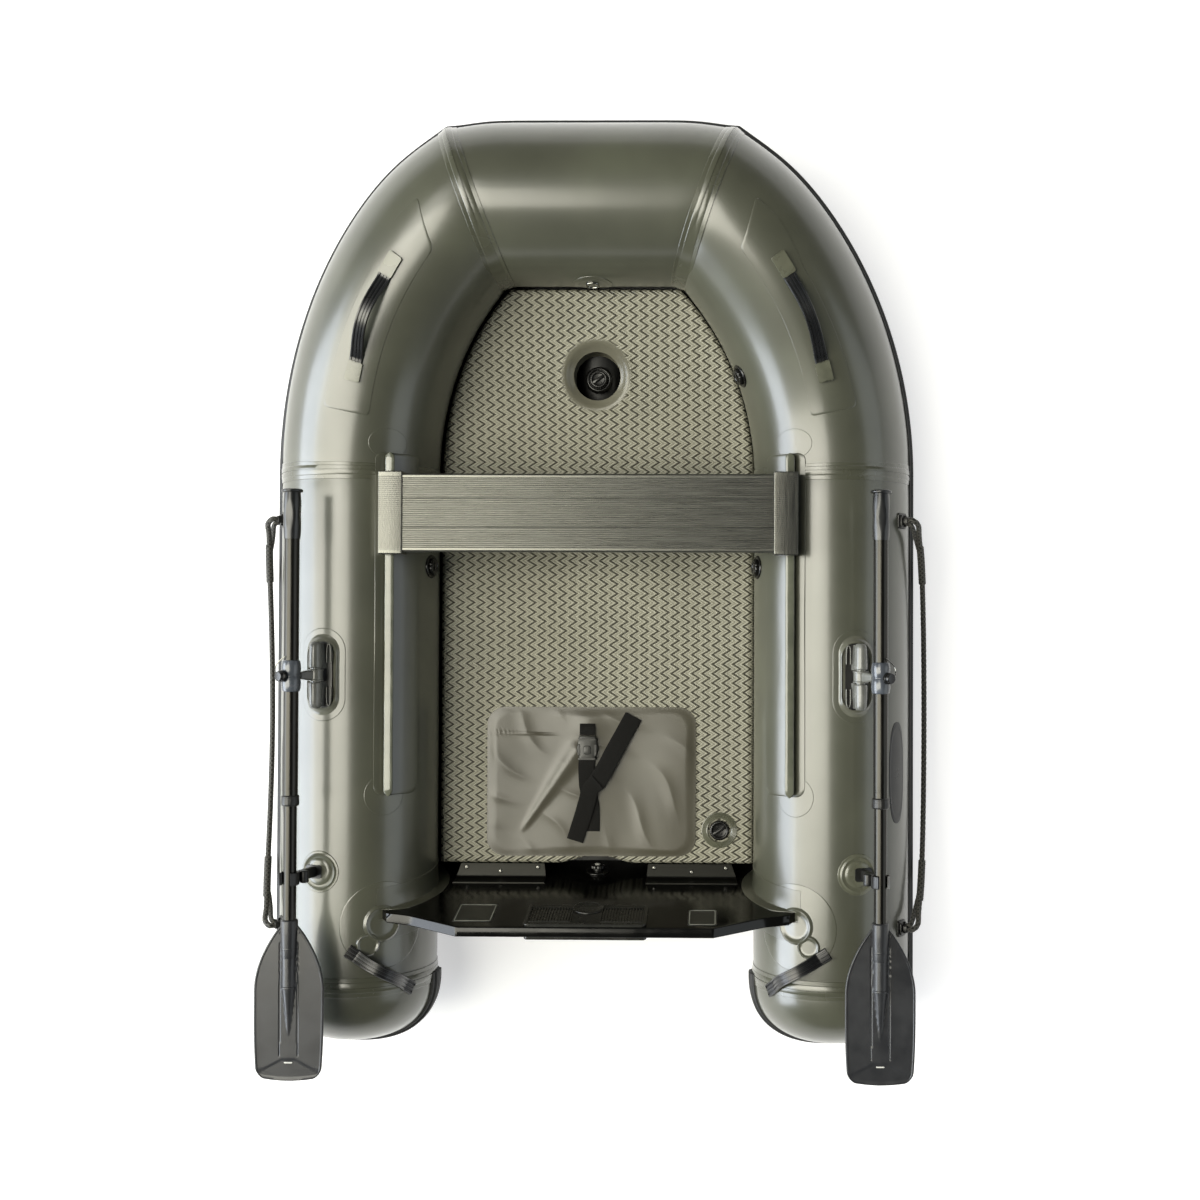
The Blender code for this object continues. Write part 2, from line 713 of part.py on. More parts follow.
def make_valves():
    """The deck's valve, the keel's valve in the deck's hole, and one for each tube chamber."""
    deck = Matrix.Translation((DECK_VALVE_X, DECK_VALVE_Y, DECK_TOP_Z + GAP))
    valve_body("deck_valve", DECK_VALVE_R, DECK_VALVE_HEIGHT, VALVE_BARREL_DEPTH, VALVE_BARREL_R, deck)
    valve_cap("deck_valve_cap", DECK_VALVE_HEIGHT, deck)
    keel_top = KEEL_CENTRE_Z + KEEL_HEIGHT / 2 + floor_rise(DECK_HOLE_Y + KEEL_VALVE_R)
    keel = Matrix.Translation((0.0, DECK_HOLE_Y, keel_top + GAP))
    valve_body("keel_valve", KEEL_VALVE_R, KEEL_VALVE_HEIGHT, 0.0, 0.0, keel)
    valve_cap("keel_valve_cap", KEEL_VALVE_HEIGHT, keel)
    places = {"starboard_chamber_valve": SIDE_VALVE_ALONG, "bow_chamber_valve": BOW_VALVE_ALONG}
    for name, along in places.items():
        foot = hull_point(along, CHAMBER_VALVE_ANGLE, SEAT_GAP if along < 0.0 else VALVE_SEAT_GAP)
        centre = hull_station(along)[0]
        profile = [(0.0, CHAMBER_VALVE_HEIGHT), (VALVE_CAP_R - 2 * BEVEL, CHAMBER_VALVE_HEIGHT),
                   (VALVE_CAP_R - BEVEL, VALVE_RIM), (CHAMBER_VALVE_R - BEVEL / 2, VALVE_RIM),
                   (CHAMBER_VALVE_R, 0.0), (0.0, 0.0)]
        turned(name, profile, "black_plastic", turned_to(foot, foot - centre))


def make_tank_patch():
    """The patch glued on the deck, and the webbing strap with its buckle that lies on it."""
    outline = rounded_rectangle(PATCH_X, PATCH_Y, PATCH_CORNER_R)
    floor = DECK_TOP_Z + GAP
    place = Matrix.Translation((0.0, 0.0, floor + PATCH_THICKNESS / 2))
    add_piece("tank_patch", plate_mesh([outline], PATCH_THICKNESS, place), "olive_hull_fabric")
    left, right = STRAP_X - STRAP_WIDTH / 2, STRAP_X + STRAP_WIDTH / 2
    tail_x, tail_y = STRAP_TAIL_REACH
    slant_x, slant_y = STRAP_TAIL_END
    strap = [(left, STRAP_Y[0]), (right, STRAP_Y[0]), (right, STRAP_TAIL_FOOT_Y[0]),
             (tail_x, tail_y - slant_y), (tail_x - slant_x, tail_y), (right, STRAP_TAIL_FOOT_Y[1]),
             (right, STRAP_Y[1]), (left, STRAP_Y[1])]
    floor += PATCH_THICKNESS + GAP
    place = Matrix.Translation((0.0, 0.0, floor + STRAP_THICKNESS / 2))
    webbing = add_piece("tank_strap", plate_mesh([strap], STRAP_THICKNESS, place), "black_webbing")
    middle = (STRAP_X, BUCKLE_Y, floor + BUCKLE_CLEAR + BUCKLE_SIZE[2] / 2)
    buckle = box_cutter("strap_buckle", middle, BUCKLE_SIZE)
    boolean(webbing, buckle, "UNION")


def strake_path():
    """The hull's outline at mid height, to starboard, from the inner end of the cone to the bow."""
    path = []
    for turn in np.linspace(math.pi, 0.0, 2 * CONE_RINGS + 1):
        power = 2.0 / CONE_BLUNTNESS
        across = math.copysign(abs(math.cos(turn)) ** power, math.cos(turn)) * TUBE_R
        aft = math.sin(turn) ** power * CONE_LENGTH if 0.0 < turn < math.pi else 0.0
        path.append(Vector((HALF_SPACING + across, CONE_SEAM_Y - aft, TUBE_R)))
    path += [hull_point(QUARTER_LENGTH * i / QUARTER_SPANS, OUTBOARD) for i in range(QUARTER_SPANS)]
    middle = hull_point(QUARTER_LENGTH + BOW_HALF, OUTBOARD)
    return path + [Vector((BOW_HALF + TUBE_R * math.tan(MITRE), middle.y, middle.z)), middle]


def make_rub_strake():
    """The black rubber strip round the hull at mid height, hooked round both stern cones."""
    half = strake_path()
    path = half + [Vector((-p.x, p.y, p.z)) for p in reversed(half[:-1])]
    drop = TUBE_R - math.sqrt(TUBE_R ** 2 - (STRAKE_HEIGHT / 2) ** 2)
    rings = []
    for i, point in enumerate(path):
        before, after = path[max(i - 1, 0)], path[min(i + 1, len(path) - 1)]
        incoming = (point - before).normalized() if i else (after - point).normalized()
        leaving = (after - point).normalized() if i < len(path) - 1 else incoming
        direction = (incoming + leaving).normalized()
        outward = direction.cross(Vector((0.0, 0.0, 1.0))).normalized()
        outward /= math.sqrt((1 + incoming.dot(leaving)) / 2)
        on_cone = point.y < CONE_SEAM_Y + GAP
        edge = (0.0 if on_cone else -drop) + STRAKE_SEAT_GAP
        half_height, crown = STRAKE_HEIGHT / 2, STRAKE_CROWN / 2
        lip = edge + STRAKE_EDGE
        section = [(STRAKE_SEAT_GAP, 0.0), (edge, half_height), (lip, half_height),
                   (STRAKE_THICKNESS, crown), (STRAKE_THICKNESS, -crown), (lip, -half_height),
                   (edge, -half_height)]
        rings.append([point + outward * out + Vector((0.0, 0.0, high)) for out, high in section])
    add_piece("rub_strake", loft(rings, cap_first=True, cap_last=True), "black_rubber")


def transom_face_y(z):
    """Where the transom's front face is at a height."""
    return TRANSOM_TOP_Y + (TRANSOM_TOP_Z - z) * math.tan(TRANSOM_RAKE)


def raked(depth):
    """Local X and Y are across and up; the plate leans aft with height, its middle at a depth aft."""
    lean = math.tan(TRANSOM_RAKE)
    return frame_matrix((0.0, transom_face_y(0.0) - depth, 0.0), (1, 0, 0), (0, -lean, 1), (0, -1, 0))


def transom_outline():
    """Half of the board: the crest, an ear over the tube, and the hollow that fits the tube."""
    centre = (HALF_SPACING, TUBE_R)
    half = [(HALF_SPACING - TRANSOM_CREST_INSET, TRANSOM_TOP_Z)]
    half += [(HALF_SPACING - inset, z) for inset, z in TRANSOM_EAR]
    half += arc(centre, TUBE_R + SEAT_GAP, TRANSOM_EAR_ANGLE, TRANSOM_FOOT_ANGLE, 22)
    edge = hull_point(-SIDE_LENGTH, SKIN_EDGE_ANGLE, SEAT_GAP + SKIN_WALL)
    above = SKIN_WALL / 2 + SEAT_GAP
    chine = HALF_SPACING - TRANSOM_CHINE_INSET
    half.append((chine, skin_height(edge, chine / edge.x) + above))
    middle = [(0.0, skin_height(edge, 0.0) + above)]
    return half + middle + [(-x, z) for x, z in reversed(half)]


def make_transom():
    """The raked board, the two motor pads on its crest and its drain hole."""
    drain = circle((0.0, DRAIN_Z), DRAIN_HOLE_R)
    board = plate_mesh([transom_outline(), drain], TRANSOM_THICKNESS, raked(TRANSOM_THICKNESS / 2))
    add_piece("transom_board", board, "black_plywood")
    top = TRANSOM_TOP_Z - PAD_BELOW_CREST
    wide = (-PAD_HALF_WIDTH, PAD_HALF_WIDTH)
    outer = rounded_rectangle(wide, (top - PAD_DEPTH_OUTER, top), PAD_CORNER_R)
    depth = TRANSOM_THICKNESS + GAP + PAD_THICKNESS_OUTER / 2
    add_piece("motor_pad_outer", plate_mesh([outer], PAD_THICKNESS_OUTER, raked(depth)), "black_plastic")
    inner = rounded_rectangle(wide, (top - PAD_DEPTH_INNER, top), PAD_CORNER_R)
    depth = -GAP - PAD_THICKNESS_INNER / 2
    add_piece("motor_pad_inner", plate_mesh([inner], PAD_THICKNESS_INNER, raked(depth)), "black_plastic")


def make_floor_bracket():
    """The aluminium angle that closes the gap between deck and transom and holds the deck down."""
    top = DECK_TOP_Z
    low, high = top - BRACKET_WALL, top + BRACKET_HEIGHT
    front = DECK_AFT_Y - GAP
    outline = [(front, low), (transom_face_y(low) + GAP, low), (transom_face_y(high) + GAP, high),
               (transom_face_y(high) + GAP + BRACKET_WALL, high),
               (transom_face_y(top) + GAP + BRACKET_WALL, top), (front, top)]
    inner, outer = (HALF_SPACING - inset for inset in BRACKET_INSET)
    mesh = plate_mesh([outline], outer - inner, along_x(x=(inner + outer) / 2))
    add_piece("starboard_floor_bracket", mesh, "grey_aluminium")


def make_drain():
    """The drain's socket through the transom, with its flange inside, and the plug in its bore."""
    front = DRAIN_FLANGE + GAP
    back = -TRANSOM_THICKNESS - DRAIN_STANDOUT
    socket = [(DRAIN_FLANGE_R, front), (DRAIN_FLANGE_R, GAP), (DRAIN_HOLE_R - GAP, GAP),
              (DRAIN_HOLE_R - GAP, back), (DRAIN_BORE_R, back), (DRAIN_BORE_R, front)]
    lean = math.tan(TRANSOM_RAKE)
    place = frame_matrix((0.0, transom_face_y(DRAIN_Z), DRAIN_Z), (-1, 0, 0), (0, -lean, 1), (0, 1, 0))
    sheared = turned("drain_guide", socket, "black_plastic", Matrix.Identity(4), closed=True)
    mesh = evaluated_mesh(sheared)
    bpy.data.objects.remove(sheared, do_unlink=True)
    mesh.transform(place)
    add_piece("drain_socket", mesh, "black_plastic")
    head = front + lean * PLUG_HEAD_R + GAP
    shank = DRAIN_BORE_R - RUNNING_GAP
    plug = [(PLUG_HEAD_R * out, head + PLUG_HEAD * high) for out, high in PLUG_SHAPE]
    plug += [(shank, head), (shank, head - PLUG_LENGTH), (0.0, head - PLUG_LENGTH)]
    forward = turned_to((0.0, transom_face_y(DRAIN_Z), DRAIN_Z), (0.0, 1.0, 0.0))
    return turned("drain_plug", plug, "grey_plastic", forward)


def rail_section():
    """The rail's section from the tube's centre: a flange on the tube, a web, and the seat's bead."""
    centre = (0.0, 0.0)
    middle = math.pi - math.acos((HALF_SPACING - RAIL_X) / TUBE_R)
    spread = RAIL_FLANGE_WIDTH / TUBE_R / 2
    inner, outer = TUBE_R + SEAT_GAP, TUBE_R + SEAT_GAP + RAIL_FLANGE
    x, root_z = RAIL_X - HALF_SPACING, math.sqrt(outer ** 2 - (HALF_SPACING - RAIL_X) ** 2)
    half_web = RAIL_WEB / 2
    outline = arc(centre, inner, middle + spread, middle - spread, 9)
    outline += arc(centre, outer, middle - spread, middle - RAIL_ROOT_TURN, 3)
    outline += [(x + half_web, root_z + RAIL_ROOT_RISE)]
    start = math.asin(half_web / RAIL_BEAD_R)
    bead = (x, RAIL_BEAD_Z - TUBE_R)
    outline += arc(bead, RAIL_BEAD_R, -math.pi / 2 + start, 1.5 * math.pi - start, 13)
    outline += [(x - half_web, root_z - RAIL_ROOT_RISE)]
    return outline + arc(centre, outer, middle + RAIL_ROOT_TURN, middle + spread, 3)


def make_seat_rail():
    """The rail glued along a tube, straight on the side tube and bending with the quarter."""
    section = rail_section()
    aft, fore = (y - CROSS_SEAM_Y for y in RAIL_Y)
    span = QUARTER_LENGTH / QUARTER_SPANS
    rings = []
    for along in (aft, 0.0, span):
        centre, _, outboard, up = hull_station(along)
        rings.append([centre + outboard * x + up * z for x, z in section])
    rings[-1] = [near.lerp(far, fore / span) for near, far in zip(rings[-2], rings[-1])]
    add_piece("starboard_seat_rail", loft(rings, cap_first=True, cap_last=True), "grey_plastic")


def plank_outline():
    """The seat extrusion's section, its top ribbed along the boat's beam."""
    half, top, bottom = PLANK_DEPTH / 2, SEAT_TOP_Z, SEAT_TOP_Z - PLANK_THICKNESS
    outline = [(-half, bottom), (half, bottom), (half, top)]
    pitch = PLANK_DEPTH / (PLANK_RIBS + 1)
    for i in range(PLANK_RIBS):
        y = half - pitch * (i + 1)
        groove = pitch * PLANK_RIB_SHARE
        outline += [(y + groove, top), (y, top - PLANK_RIB_DEPTH), (y - groove, top)]
    return outline + [(-half, top)]


def make_seat():
    """The hollow plank and the sliders that carry its ends along the rails."""
    cell = (PLANK_DEPTH - PLANK_WALL * (PLANK_CELLS + 1)) / PLANK_CELLS
    low, high = SEAT_TOP_Z - PLANK_THICKNESS + PLANK_WALL, SEAT_TOP_Z - PLANK_WALL
    cells = []
    for i in range(PLANK_CELLS):
        start = -PLANK_DEPTH / 2 + PLANK_WALL + i * (cell + PLANK_WALL)
        cells.append([(start, low), (start + cell, low), (start + cell, high), (start, high)])
    mesh = plate_mesh([plank_outline()] + cells, 2 * PLANK_HALF_LENGTH, along_x(y=SEAT_CENTRE_Y))
    plank = add_piece("seat_plank", mesh, "dark_aluminium")
    half_slot = RAIL_WEB / 2 + RAIL_GAP
    bore = RAIL_BEAD_R + RAIL_GAP
    start = math.asin(half_slot / bore)
    top = SEAT_TOP_Z + SLIDER_ROOF
    left, right = (RAIL_X + reach for reach in SLIDER_REACH)
    outline = [(left, SLIDER_BOTTOM_Z), (RAIL_X - half_slot, SLIDER_BOTTOM_Z)]
    outline += arc((RAIL_X, RAIL_BEAD_Z), bore, 1.5 * math.pi - start, -math.pi / 2 + start, 13)
    outline += [(RAIL_X + half_slot, SLIDER_BOTTOM_Z), (right, SLIDER_BOTTOM_Z), (right, top - BEVEL),
                (right - BEVEL, top), (left + BEVEL / 2, top), (left, top - BEVEL / 2)]
    mesh = plate_mesh([outline], SEAT_DEPTH, along_y(y=SEAT_CENTRE_Y))
    slider = add_piece("starboard_seat_slider", mesh, "black_plastic")
    reach = PLANK_HALF_LENGTH + GAP
    pocket = (2 * reach, PLANK_DEPTH + 2 * GAP, PLANK_THICKNESS + 2 * GAP)
    cutter = box_cutter("plank_pocket", (0.0, SEAT_CENTRE_Y, SEAT_TOP_Z - PLANK_THICKNESS / 2), pocket)
    boolean(slider, cutter, "DIFFERENCE")
    return plank, slider


def oarlock_axis():
    """Where the oarlock's axle runs, in section: its centre, and the direction it stands out."""
    out = Vector((math.sin(OARLOCK_LEAN), 0.0, math.cos(OARLOCK_LEAN)))
    return Vector((HALF_SPACING, OARLOCK_Y, TUBE_R)) + out * (TUBE_R + OARLOCK_AXIS_HEIGHT), out


def pin_direction():
    """The way the pin stands out of the axle at rest, tilted outboard."""
    return Vector((math.cos(PIN_TILT), 0.0, math.sin(PIN_TILT)))


def oar_centre():
    """Where the pin crosses the oar's own axis."""
    return oarlock_axis()[0] + pin_direction() * PIN_REACH


def make_oarlock():
    """The housing glued on the tube, with a tunnel fore and aft, and the axle that carries the pin."""
    axis, out = oarlock_axis()
    across = Vector((math.cos(OARLOCK_LEAN), 0.0, -math.sin(OARLOCK_LEAN)))
    height = TUBE_R + OARLOCK_AXIS_HEIGHT
    half = OARLOCK_FOOT_WIDTH / 2
    spread = math.asin(half / TUBE_R)
    outline = arc((0.0, 0.0), TUBE_R + SEAT_GAP, UPWARD + spread, UPWARD - spread, 7)
    shoulder = math.cos(spread) * TUBE_R + OARLOCK_FOOT
    outline += [(half, shoulder), (OARLOCK_TUNNEL_R, shoulder + OARLOCK_HAUNCH)]
    outline += arc((0.0, height), OARLOCK_TUNNEL_R, 0.0, math.pi, 13)
    outline += [(-OARLOCK_TUNNEL_R, shoulder + OARLOCK_HAUNCH), (-half, shoulder)]
    bore = circle((0.0, height), AXLE_R + RUNNING_GAP)
    place = frame_matrix((HALF_SPACING, OARLOCK_Y, TUBE_R), across, out, (0, -1, 0))
    mesh = plate_mesh([outline, bore], OARLOCK_LENGTH, place)
    base = add_piece("starboard_oarlock_base", mesh, "black_plastic")
    lean = Matrix.Rotation(OARLOCK_LEAN, 4, "Y")
    slot = box_cutter("collar_slot", axis + out * COLLAR_SLOT_RAISE, COLLAR_SLOT, lean)
    boolean(base, slot, "DIFFERENCE")
    end = OARLOCK_LENGTH / 2 - BEVEL
    middle = COLLAR_LENGTH / 2
    profile = [(0.0, end), (AXLE_R, end), (AXLE_R, middle), (COLLAR_R, middle), (COLLAR_R, -middle),
               (AXLE_R, -middle), (AXLE_R, -end), (0.0, -end)]
    axle = turned("starboard_oarlock_axle", profile, "black_plastic", turned_to(axis, (0.0, 1.0, 0.0)))
    tip = PIN_REACH + SLEEVE_R + CAP_BITE
    standing = turned_to(axis + pin_direction() * tip / 2, pin_direction())
    pin = cylinder_cutter("oarlock_pin", PIN_R, tip, standing)
    boolean(axle, pin, "UNION")
    return base, axle


def tube_profile(outer, inner, top, bottom):
    """A turned tube's wall, down its outer side and up its bore."""
    return [(outer, top), (outer, bottom), (inner, bottom), (inner, top)]


def make_oar():
    """A two-part oar: grip, upper shaft on the pin, lower shaft in the joint ring, and blade."""
    centre = oar_centre()
    axis = turned_to((centre.x, 0.0, centre.z), (0.0, 1.0, 0.0))
    pin_hole = turned_to(centre, pin_direction())
    bore = SHAFT_R + GAP
    foot = GRIP_END_Y - GRIP_LENGTH
    head = GRIP_END_Y - GRIP_FLANGE
    grip_profile = [(0.0, GRIP_END_Y), (GRIP_FLANGE_R - BEVEL, GRIP_END_Y), (GRIP_FLANGE_R, head),
                    (GRIP_R, head - BEVEL), (GRIP_R, foot + GRIP_FLANGE), (GRIP_R + BEVEL, foot),
                    (bore, foot), (bore, head), (0.0, head)]
    grip = turned("starboard_oar_grip", grip_profile, "black_rubber", axis)
    ring_top = JOINT_RING_Y + JOINT_RING_LENGTH / 2
    ring_bottom = JOINT_RING_Y - JOINT_RING_LENGTH / 2
    inner = SHAFT_R - SHAFT_WALL
    upper_profile = [(SHAFT_R, head - GAP), (SHAFT_R, ring_top), (JOINT_RING_R, ring_top - BEVEL),
                     (JOINT_RING_R, ring_bottom), (inner, ring_bottom), (inner, head - GAP)]
    upper = turned("starboard_oar_upper_shaft", upper_profile, "black_aluminium", axis, closed=True)
    hole = cylinder_cutter("shaft_pin_hole", PIN_R + RUNNING_GAP, PIN_HOLE_LENGTH, pin_hole)
    boolean(upper, hole, "DIFFERENCE")
    half = SLEEVE_LENGTH / 2
    sleeve_profile = tube_profile(SLEEVE_R, bore, OARLOCK_Y + half, OARLOCK_Y - half)
    sleeve = turned("starboard_oar_sleeve", sleeve_profile, "black_plastic", axis, closed=True)
    boolean(sleeve, hole, "DIFFERENCE")
    neck_end = NECK_TOP_Y - NECK_LENGTH
    lower_profile = tube_profile(LOWER_SHAFT_R, LOWER_SHAFT_R - SHAFT_WALL,
                                 JOINT_RING_Y + LOWER_SHAFT_OVERLAP, neck_end + LOWER_SHAFT_SHORT)
    lower = turned("starboard_oar_lower_shaft", lower_profile, "black_aluminium", axis, closed=True)
    cap_foot = SLEEVE_R + GAP
    crown_r, crown_height = CAP_R * CAP_CROWN[0], CAP_LENGTH * CAP_CROWN[1]
    cap_profile = [(0.0, cap_foot + CAP_LENGTH), (crown_r, cap_foot + CAP_LENGTH),
                   (CAP_R, cap_foot + crown_height), (CAP_R, cap_foot), (PIN_R + GAP, cap_foot),
                   (PIN_R + GAP, SLEEVE_R + CAP_BITE + GAP), (0.0, SLEEVE_R + CAP_BITE + GAP)]
    cap = turned("starboard_pin_cap", cap_profile, "grey_plastic", turned_to(centre, pin_direction()))
    blade = make_blade(centre, axis)
    return [grip, upper, sleeve], cap, [lower, blade]


def blade_outline(x):
    """The blade in plan: a curved shoulder, straight sides and round corners at the tip."""
    side = []
    for share in np.linspace(0.0, 1.0, 9):
        grow = math.sin(math.pi / 2 * share) ** BLADE_SHOULDER_POWER
        half = BLADE_NECK_HALF_WIDTH + (BLADE_HALF_WIDTH - BLADE_NECK_HALF_WIDTH) * grow
        side.append((half, BLADE_TOP_Y - BLADE_SHOULDER * share))
    corner = (BLADE_HALF_WIDTH - BLADE_CORNER_R, BLADE_TIP_Y + BLADE_CORNER_R)
    side += arc(corner, BLADE_CORNER_R, 0.0, -math.pi / 2, 7)
    return [(x + w, y) for w, y in side] + [(x - w, y) for w, y in reversed(side)]


def make_blade(centre, axis):
    """The moulded blade: a flat plate, with a socket for the shaft and a spine that tapers out."""
    mesh = plate_mesh([blade_outline(centre.x)], BLADE_THICKNESS, Matrix.Translation((0.0, 0.0, centre.z)))
    blade = add_piece("starboard_oar_blade", mesh, "black_plastic")
    neck_end = NECK_TOP_Y - NECK_LENGTH
    spine_profile = [(0.0, NECK_TOP_Y), (NECK_R - BEVEL / 2, NECK_TOP_Y), (NECK_R, NECK_TOP_Y - BEVEL),
                     (NECK_R - BEVEL, neck_end), (SPINE_END_R, SPINE_END_Y), (0.0, SPINE_END_Y - BEVEL)]
    spine = turned("blade_spine", spine_profile, "black_plastic", axis)
    boolean(blade, spine, "UNION")
    depth = NECK_LENGTH + SOCKET_CLEAR
    place = turned_to((centre.x, neck_end + SOCKET_CLEAR + depth / 2, centre.z), (0.0, 1.0, 0.0))
    socket = cylinder_cutter("blade_socket", LOWER_SHAFT_R + GAP, depth, place)
    boolean(blade, socket, "DIFFERENCE")
    return blade


def make_oar_clip():
    """The springy plastic clip on the tube, a C on a stem, that holds the stowed oar's shaft."""
    centre = oar_centre()
    reach = Vector((centre.x - HALF_SPACING, 0.0, centre.z - TUBE_R))
    out = reach.normalized()
    across = Vector((out.z, 0.0, -out.x))
    inner, outer = SHAFT_R + GAP, SHAFT_R + GAP + CLIP_WALL
    height = reach.length
    half_mouth, half_stem, half_foot = CLIP_MOUTH / 2, CLIP_STEM / 2, CLIP_FOOT_WIDTH / 2
    spread = math.asin(half_foot / TUBE_R)
    up = UPWARD
    outline = arc((0.0, 0.0), TUBE_R + SEAT_GAP, up + spread, up - spread, 5)
    outline += arc((0.0, 0.0), TUBE_R + SEAT_GAP + CLIP_FOOT, up - spread, up - half_stem / TUBE_R, 3)
    start = math.asin(half_stem / outer)
    outline += arc((0.0, height), outer, -up + start, up - half_mouth, 9)
    outline += arc((0.0, height), inner, up - half_mouth, -1.5 * math.pi + half_mouth, 15)
    outline += arc((0.0, height), outer, -1.5 * math.pi + half_mouth, -up - start, 9)
    outline += arc((0.0, 0.0), TUBE_R + SEAT_GAP + CLIP_FOOT, up + half_stem / TUBE_R, up + spread, 3)
    place = frame_matrix((HALF_SPACING, CLIP_Y, TUBE_R), across, out, (0, -1, 0))
    mesh = plate_mesh([outline], CLIP_WIDTH, place)
    add_piece("starboard_oar_clip", mesh, "black_plastic")


def make_handle(name, along, angle, bulge):
    """A moulded strap handle: two flat feet on the tube and a grip arched between them."""
    rings = []
    for share in np.linspace(0.0, 1.0, 15):
        on_foot = min(share, 1.0 - share) < HANDLE_FOOT
        rise = (min(share, 1.0 - share) - HANDLE_FOOT) / (0.5 - HANDLE_FOOT)
        wave = 0.0 if on_foot else math.sin(math.pi / 2 * rise)
        half_width = (HANDLE_WIDTH + (HANDLE_FOOT_WIDTH - HANDLE_WIDTH) * (1.0 - wave)) / 2
        place = along[0] + (along[1] - along[0]) * share
        turn = angle[0] + (angle[1] - angle[0]) * share + bulge * wave
        lift = 2 * SEAT_GAP + HANDLE_ARCH * wave
        twist = HANDLE_PROBE * (angle[1] - angle[0]) / (along[1] - along[0])
        before = hull_point(place - HANDLE_PROBE, turn - twist)
        direction = (hull_point(place + HANDLE_PROBE, turn + twist) - before).normalized()
        centre = hull_station(place)[0]
        low = hull_point(place, turn, lift)
        outward = (low - centre).normalized()
        sideways = direction.cross(outward).normalized() * half_width
        high = low + outward * HANDLE_THICKNESS
        curve = outward * (half_width ** 2 / (2 * TUBE_R)) * (1.0 - wave)
        rings.append([low - sideways - curve, low, low + sideways - curve, high + sideways - curve, high,
                      high - sideways - curve])
    return add_piece(name, loft(rings, cap_first=True, cap_last=True), "black_rubber")


def make_handles():
    """Carrying handles: one on each quarter, one across each tube's stern end."""
    make_handle("starboard_bow_handle", BOW_HANDLE_ALONG, BOW_HANDLE_ANGLE, BOW_HANDLE_BULGE)
    make_handle("starboard_stern_handle", STERN_HANDLE_ALONG, STERN_HANDLE_ANGLE, 0.0)


def lug_face(along):
    """The middle of a rope tab's outer face, and the way it faces."""
    lift = SEAT_GAP + TAB_THICKNESS + LUG_HEIGHT
    centre = hull_station(along)[0]
    point = hull_point(along, TAB_ANGLE, lift)
    return point, (point - centre).normalized()


def make_rope_tabs():
    """The moulded tabs on the tube that the lifeline is tied to."""
    for name, along in zip(("fore", "aft"), TAB_ALONG):
        half = TAB_SIZE / 2
        spread = half / TUBE_R
        low, high = TUBE_R + SEAT_GAP, TUBE_R + SEAT_GAP + TAB_THICKNESS
        outline = arc((0.0, 0.0), low, TAB_ANGLE + spread, TAB_ANGLE - spread, 5)
        outline += arc((0.0, 0.0), high, TAB_ANGLE - spread, TAB_ANGLE + spread, 5)
        y = hull_station(along)[0].y
        mesh = plate_mesh([outline], TAB_SIZE, along_y(x=HALF_SPACING, y=y, z=TUBE_R))
        tab = add_piece(f"starboard_{name}_rope_tab", mesh, "black_webbing")
        face, out = lug_face(along)
        depth = LUG_HEIGHT + TAB_THICKNESS / 2
        lug = box_cutter(f"{name}_lug", face - out * depth / 2, (LUG_SIZE, LUG_SIZE, depth),
                         out.to_track_quat("Z", "Y").to_matrix().to_4x4())
        boolean(tab, lug, "UNION")


def lifeline_route():
    """The hanging rope's own points: out of one tab, down under its weight, and back to the other."""
    start, out = lug_face(TAB_ALONG[0])
    end, _ = lug_face(TAB_ALONG[1])
    leads = (SEAT_GAP, SEAT_GAP + ROPE_LEAD, SEAT_GAP + 2 * ROPE_LEAD)
    points = [start + out * lead for lead in leads]
    for share in ROPE_SHARES:
        sag = 4.0 * share * (1.0 - share)
        point = start.lerp(end, share)
        point.x += ROPE_OFF + ROPE_STANDOFF * sag ** ROPE_STANDOFF_POWER
        point.z -= ROPE_SAG * sag ** ROPE_SAG_POWER
        points.append(point)
    return points + [end + out * lead for lead in reversed(leads)]


def smooth_route(points, step):
    """Points at even steps along a smooth curve through a route's own points."""
    route = np.array([tuple(p) for p in points])
    padded = np.vstack([2 * route[0] - route[1], route, 2 * route[-1] - route[-2]])
    fine = []
    for i in range(1, len(padded) - 2):
        a, b, c, d = padded[i - 1:i + 3]
        for t in np.linspace(0.0, 1.0, 12, endpoint=False):
            fine.append(0.5 * (2 * b + (c - a) * t + (2 * a - 5 * b + 4 * c - d) * t ** 2
                               + (3 * b - a - 3 * c + d) * t ** 3))
    fine = np.array(fine + [route[-1]])
    run = np.concatenate([[0.0], np.cumsum(np.linalg.norm(np.diff(fine, axis=0), axis=1))])
    spans = max(int(round((run[-1] - 2 * ROPE_LEAD) / step)), 2)
    wanted = np.concatenate([[0.0], np.linspace(ROPE_LEAD, run[-1] - ROPE_LEAD, spans + 1), [run[-1]]])
    return np.stack([np.interp(wanted, run, fine[:, k]) for k in range(3)], axis=1), run[-1]


def make_lifeline():
    """The rope that hangs along the side between its two tabs."""
    points, length = smooth_route(lifeline_route(), ROPE_STEP)
    print(f"lifeline length {length:.4f} m")
    data = bpy.data.curves.new("starboard_lifeline", "CURVE")
    data.dimensions = "3D"
    data.bevel_depth = ROPE_D / 2
    data.bevel_resolution = 2
    data.use_fill_caps = True
    spline = data.splines.new("POLY")
    spline.points.add(len(points) - 1)
    for target, point in zip(spline.points, points):
        target.co = (*point, 1.0)
    data.materials.append(own_material("starboard_lifeline", "black_rope"))
    rope = bpy.data.objects.new("starboard_lifeline", data)
    rope["finish"] = "black_rope"
    COLLECTIONS["inflatable_boat"].objects.link(rope)


